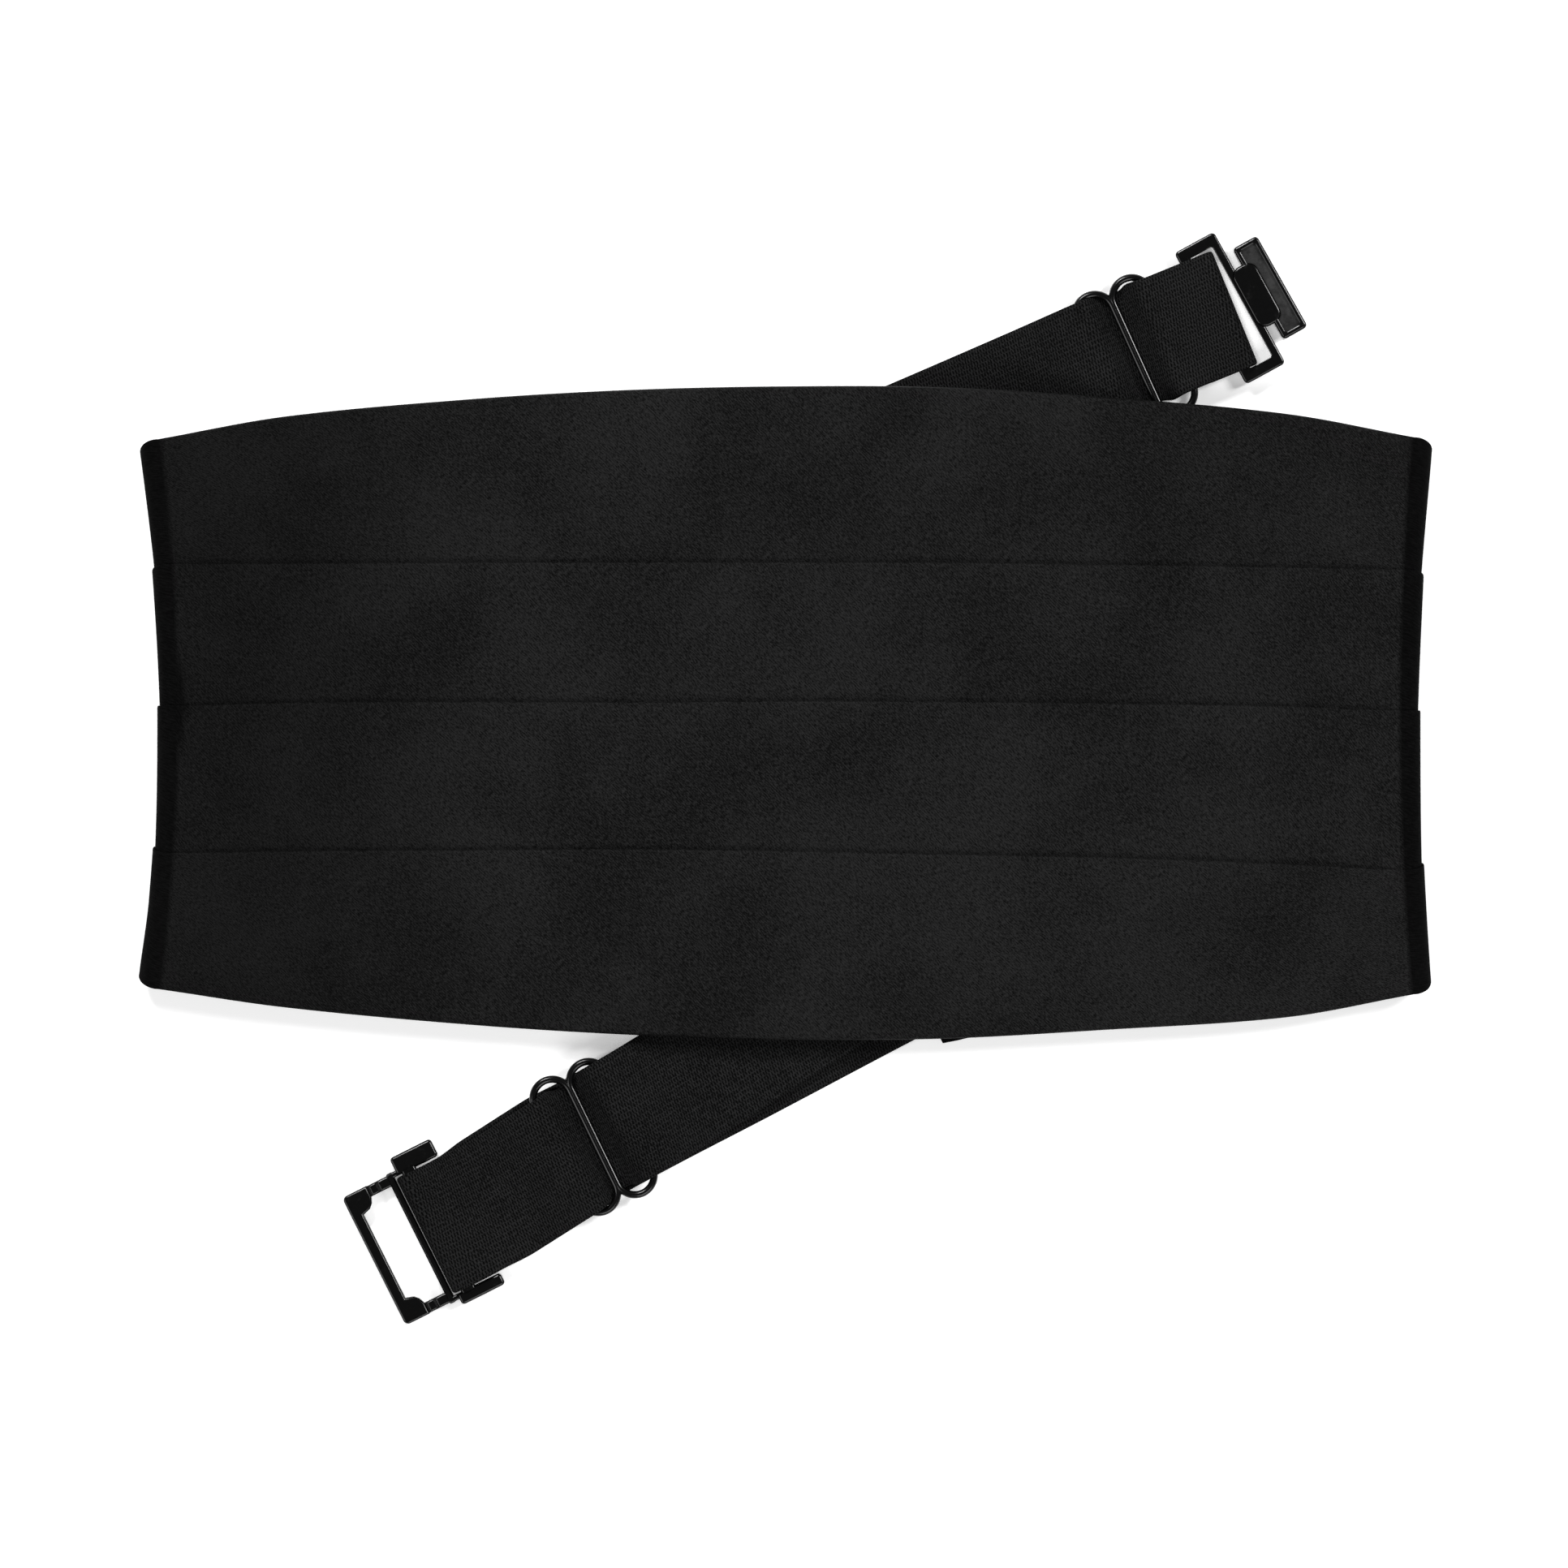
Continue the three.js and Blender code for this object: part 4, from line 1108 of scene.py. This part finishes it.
def rod(x, y0, y1, z, radius):
    """A round rod across the clasp."""
    mesh = bmesh.new()
    turn = Matrix.Rotation(math.pi / 2, 4, "X")
    middle = Matrix.Translation((x, (y0 + y1) / 2, z))
    size = {"segments": ROD_SIDES, "radius1": radius, "radius2": radius, "depth": abs(y1 - y0)}
    bmesh.ops.create_cone(mesh, cap_ends=True, matrix=middle @ turn, **size)
    return mesh


def solid(mesh):
    """A passing object that holds a mesh for a boolean."""
    data = bpy.data.meshes.new("part")
    mesh.to_mesh(data)
    mesh.free()
    part = bpy.data.objects.new("part", data)
    bpy.context.scene.collection.objects.link(part)
    return part


def fused(whole, operation, parts):
    """The whole after each part is joined to it or cut from it."""
    whole = solid(whole)
    tools = [solid(part) for part in parts]
    for tool in tools:
        step = whole.modifiers.new("step", "BOOLEAN")
        step.operation, step.solver, step.object = operation, "EXACT", tool
    shown = whole.evaluated_get(bpy.context.evaluated_depsgraph_get())
    mesh = bmesh.new()
    mesh.from_mesh(shown.to_mesh())
    for part in (whole, *tools):
        bpy.data.objects.remove(part)
    return mesh


def together(parts):
    """One mesh of closed parts that run into one another."""
    whole = parts[0]
    for part in parts[1:]:
        data = bpy.data.meshes.new("part")
        part.to_mesh(data)
        part.free()
        whole.from_mesh(data)
        bpy.data.meshes.remove(data)
    return whole


def moulded(name, mesh, node, fold, turn):
    """The clasp at the fold of its webbing."""
    seat = Matrix.Translation(fold + SHIFT) @ Matrix.Rotation(turn, 4, "Z")
    bmesh.ops.transform(mesh, matrix=Matrix.Diagonal((MM, MM, MM, 1.0)) @ seat, verts=mesh.verts)
    piece = finished(name, mesh, PLASTIC)
    piece.data.set_sharp_from_angle(angle=SHARP_ANGLE)
    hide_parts(node)
    return piece


def eye_end():
    """Outline of the eye's outer end, with the pads in its inner corners."""
    pad_from, pad_half = EYE_OUTER - EYE_PAD_LENGTH, EYE_HALF - EYE_PAD_WIDTH
    corner_x, corner_y = EYE_OUTER - EYE_CORNER, EYE_HALF - EYE_CORNER
    inner = [(EYE_HOLE_TO, pad_half)]
    inner += [(x, pad_half + out) for x, out in EYE_PAD_CURVE]
    inner.append((pad_from, EYE_HALF - EYE_RAIL_WIDTH))
    return [
        (pad_from, -EYE_HALF),
        *arc(corner_x, -corner_y, EYE_CORNER, -90, 0),
        *arc(corner_x, corner_y, EYE_CORNER, 0, 90),
        (pad_from, EYE_HALF),
        *reversed(inner),
        *[(x, -y) for x, y in inner],
    ]


def eye_clasp(fold):
    tops, slopes, rounds = EYE_TOPS, EYE_SLOPES, EYE_ROUNDS
    rail_half = EYE_HALF - EYE_RAIL_WIDTH
    rail_to = EYE_OUTER - EYE_PAD_LENGTH + EYE_RAIL_LAP
    ear_from = WEB_WIDTH / 2 + CLEARANCE
    inner = rounded_box(*EYE_INNER_BAR, rounds["inner"])
    parts = [
        slab(eye_end(), 0, tops["end"], slopes["end"]),
        slab(inner, 0, tops["inner"], slopes["inner"], EYE_INNER_GLINT),
    ]
    for side, ear_width, ear_length in EYE_EARS:
        low, high = sorted((side * rail_half, side * (EYE_HALF - EYE_STEP)))
        rail = rounded_box(EYE_RAIL_FROM, low, rail_to, high, rounds["rail"])
        parts.append(slab(rail, EYE_STEP, tops["rail"], slopes["rail"]))
        low, high = low + EYE_RIDGE_MARGIN, high - EYE_RIDGE_MARGIN
        for x in EYE_RIDGES:
            parts.append(rod(x, low, high, EYE_RIDGE_LEVEL, EYE_RIDGE_RADIUS))
        low, high = sorted((side * ear_from, side * (ear_from + ear_width)))
        ear = rounded_box(-ear_length, low, EYE_EAR_END, high, rounds["ear"])
        parts.append(slab(ear, 0, tops["ear"], slopes["ear"]))
        low, high = sorted((side * ear_from, side * (ear_from + EYE_LINK_WIDTH)))
        link = rounded_box(EYE_LINK[0], low, EYE_LINK[1], high, rounds["link"])
        parts.append(slab(link, EYE_STEP, tops["link"], slopes["link"]))
    crossbar = rounded_box(*EYE_CROSSBAR, rounds["bar"])
    parts.append(slab(crossbar, CROSSBAR_BOTTOM, LOOP_PLY - EYE_BAR_DROP, slopes["bar"]))
    moulded("eye_clasp_frame", together(parts), "eye_clasp", fold, EYE_TURN)


def hook_clasp(fold):
    slopes, rounds = HOOK_SLOPES, HOOK_ROUNDS
    low, high = CROSSBAR_BOTTOM, CROSSBAR_BOTTOM + CROSSBAR_HEIGHT
    x0, y0, _, y1 = HOOK_FRAME
    window = (x0 + HOOK_BAR_WIDTH, y0 + HOOK_ARM_WIDTH, HOOK_WINDOW_END, y1 - HOOK_ARM_WIDTH)
    frame = fused(
        slab(rounded_box(*HOOK_FRAME, rounds["frame"]), low, high, slopes["frame"]),
        "DIFFERENCE",
        [hollow(*window, rounds["window"], low - CUTTER_SPARE, high)],
    )
    x0, y0, x1, y1 = HOOK_HEAD
    sunk = (x0 + HOOK_RIM, y0 + HOOK_RIM, x1 - HOOK_RIM, y1 - HOOK_RIM)
    sunk_level = HOOK_HEAD_TOP - HOOK_SUNK
    head = fused(
        slab(rounded_box(*HOOK_HEAD, rounds["head"]), 0, HOOK_HEAD_TOP, slopes["head"]),
        "DIFFERENCE",
        [hollow(*sunk, rounds["sunk"], sunk_level, HOOK_HEAD_TOP)],
    )
    tilt = Matrix.Rotation(HOOK_HEAD_TILT, 4, "Z")
    slipped = Matrix.Translation((0, HOOK_HEAD_SLIP, 0))
    bmesh.ops.transform(head, matrix=slipped @ tilt, verts=head.verts)
    outline = rounded_box(*HOOK_TONGUE, rounds["tongue"])
    tongue = slab(outline, low, HOOK_HEAD_TOP + HOOK_TONGUE_RISE, slopes["tongue"])
    whole = fused(frame, "UNION", [head, tongue])
    clasp = moulded("hook_clasp_frame", whole, "hook_clasp", fold, HOOK_TURN)
    clasp.data.materials.append(WORN_PLASTIC)
    for face in clasp.data.polygons:
        off = abs(face.center.z - sunk_level * MM)
        if off < FLOOR_TOLERANCE * MM and face.normal.z > FACING_UP:
            face.material_index = 1


hook_plan = strap_plan(
    TAIL_ENDS["left"],
    HOOK_SLIDER_RUN,
    HOOK_SLIDER_HEADING,
    HOOK_FOLD_RUN,
    HOOK_FOLD_HEADING,
    HOOK_FOLD_HEADING,
)
eye_plan = strap_plan(
    TAIL_ENDS["right"],
    EYE_SLIDER_RUN,
    EYE_SLIDER_HEADING,
    EYE_FOLD_RUN,
    EYE_FOLD_HEADING,
    EYE_TURN,
)
eye_bar = eye_strap(eye_plan)
hook_bar = hook_strap(hook_plan)
pleated_band(hook_plan, eye_plan)
slider("eye_side_wire_slider", "slider_eye_side", eye_plan["slider"], eye_bar, EYE_SLIDER_TURN, 0.0)
slider(
    "hook_side_wire_slider",
    "slider_hook_side",
    hook_plan["slider"],
    hook_bar,
    HOOK_SLIDER_TURN,
    HOOK_SLIDER_SLIP,
)
eye_clasp(eye_plan["fold"])
hook_clasp(hook_plan["fold"])


# Floor, light and camera


FLOOR_HALF = 4.0
WORLD_STRENGTH = 0.12
LIGHTS = (
    {"name": "upper_light", "place": (-0.57, 1.17, 1.2), "size": (0.5, 0.3), "power": 23.0},
    {"name": "left_light", "place": (-1.17, -0.57, 1.15), "size": (0.9, 1.0), "power": 12.0},
    {"name": "right_light", "place": (1.17, 0.57, 1.15), "size": (0.3, 0.5), "power": 18.0},
    {"name": "lower_light", "place": (0.57, -1.17, 1.2), "size": (1.0, 0.9), "power": 14.0},
)
PHOTO_PIXELS = 1932
PIXEL_SIZE = 0.157
VIEW_CENTRE = Vector((-0.393, -13.895, 7.0))  # from the middle of the panel


def floor_finish():
    finish = Finish("pale_floor")
    cloud = finish.speckle(3.0, 2.0, 0.5)
    finish.surface(
        Base_Color=finish.mixed(cloud, (0.95, 0.95, 0.95), (0.97, 0.97, 0.97)),
        Roughness=0.85,
        Specular_IOR_Level=0.1,
        Emission_Color=(1.0, 1.0, 1.0, 1.0),
        Emission_Strength=0.25,
    )
    return finish.material


def pale_floor():
    mesh = bmesh.new()
    bmesh.ops.create_grid(mesh, x_segments=1, y_segments=1, size=FLOOR_HALF)
    data = bpy.data.meshes.new("floor")
    mesh.to_mesh(data)
    mesh.free()
    data.materials.append(floor_finish())
    floor = bpy.data.objects.new("floor", data)
    bpy.context.scene.collection.objects.link(floor)


def soft_light(name, place, size, power):
    """An area lamp that faces the object."""
    lamp = bpy.data.lights.new(name, "AREA")
    lamp.shape = "RECTANGLE"
    lamp.size, lamp.size_y = size
    lamp.energy = power
    light = bpy.data.objects.new(name, lamp)
    light.location = place
    light.rotation_euler = (-Vector(place)).to_track_quat("-Z", "Y").to_euler()
    bpy.context.scene.collection.objects.link(light)


def studio():
    scene = bpy.context.scene
    world = bpy.data.worlds.new("studio")
    world.use_nodes = True
    background = world.node_tree.nodes["Background"]
    background.inputs["Color"].default_value = (1.0, 1.0, 1.0, 1.0)
    background.inputs["Strength"].default_value = WORLD_STRENGTH
    scene.world = world
    scene.view_settings.view_transform = "Standard"
    for light in LIGHTS:
        soft_light(**light)


def overhead_camera():
    """Looks straight down; the frame is 303.3 mm wide at the height of the panel."""
    camera = bpy.data.cameras.new("camera")
    camera.lens = 300.0
    camera.sensor_width = 36.0
    view_width = PHOTO_PIXELS * PIXEL_SIZE * MM
    height = view_width * camera.lens / camera.sensor_width
    rig = bpy.data.objects.new("camera", camera)
    centre = (SHIFT + VIEW_CENTRE) * MM
    rig.location = (centre.x, centre.y, centre.z + height)
    camera.clip_end = 20.0
    bpy.context.scene.collection.objects.link(rig)
    bpy.context.scene.camera = rig


pale_floor()
studio()
overhead_camera()
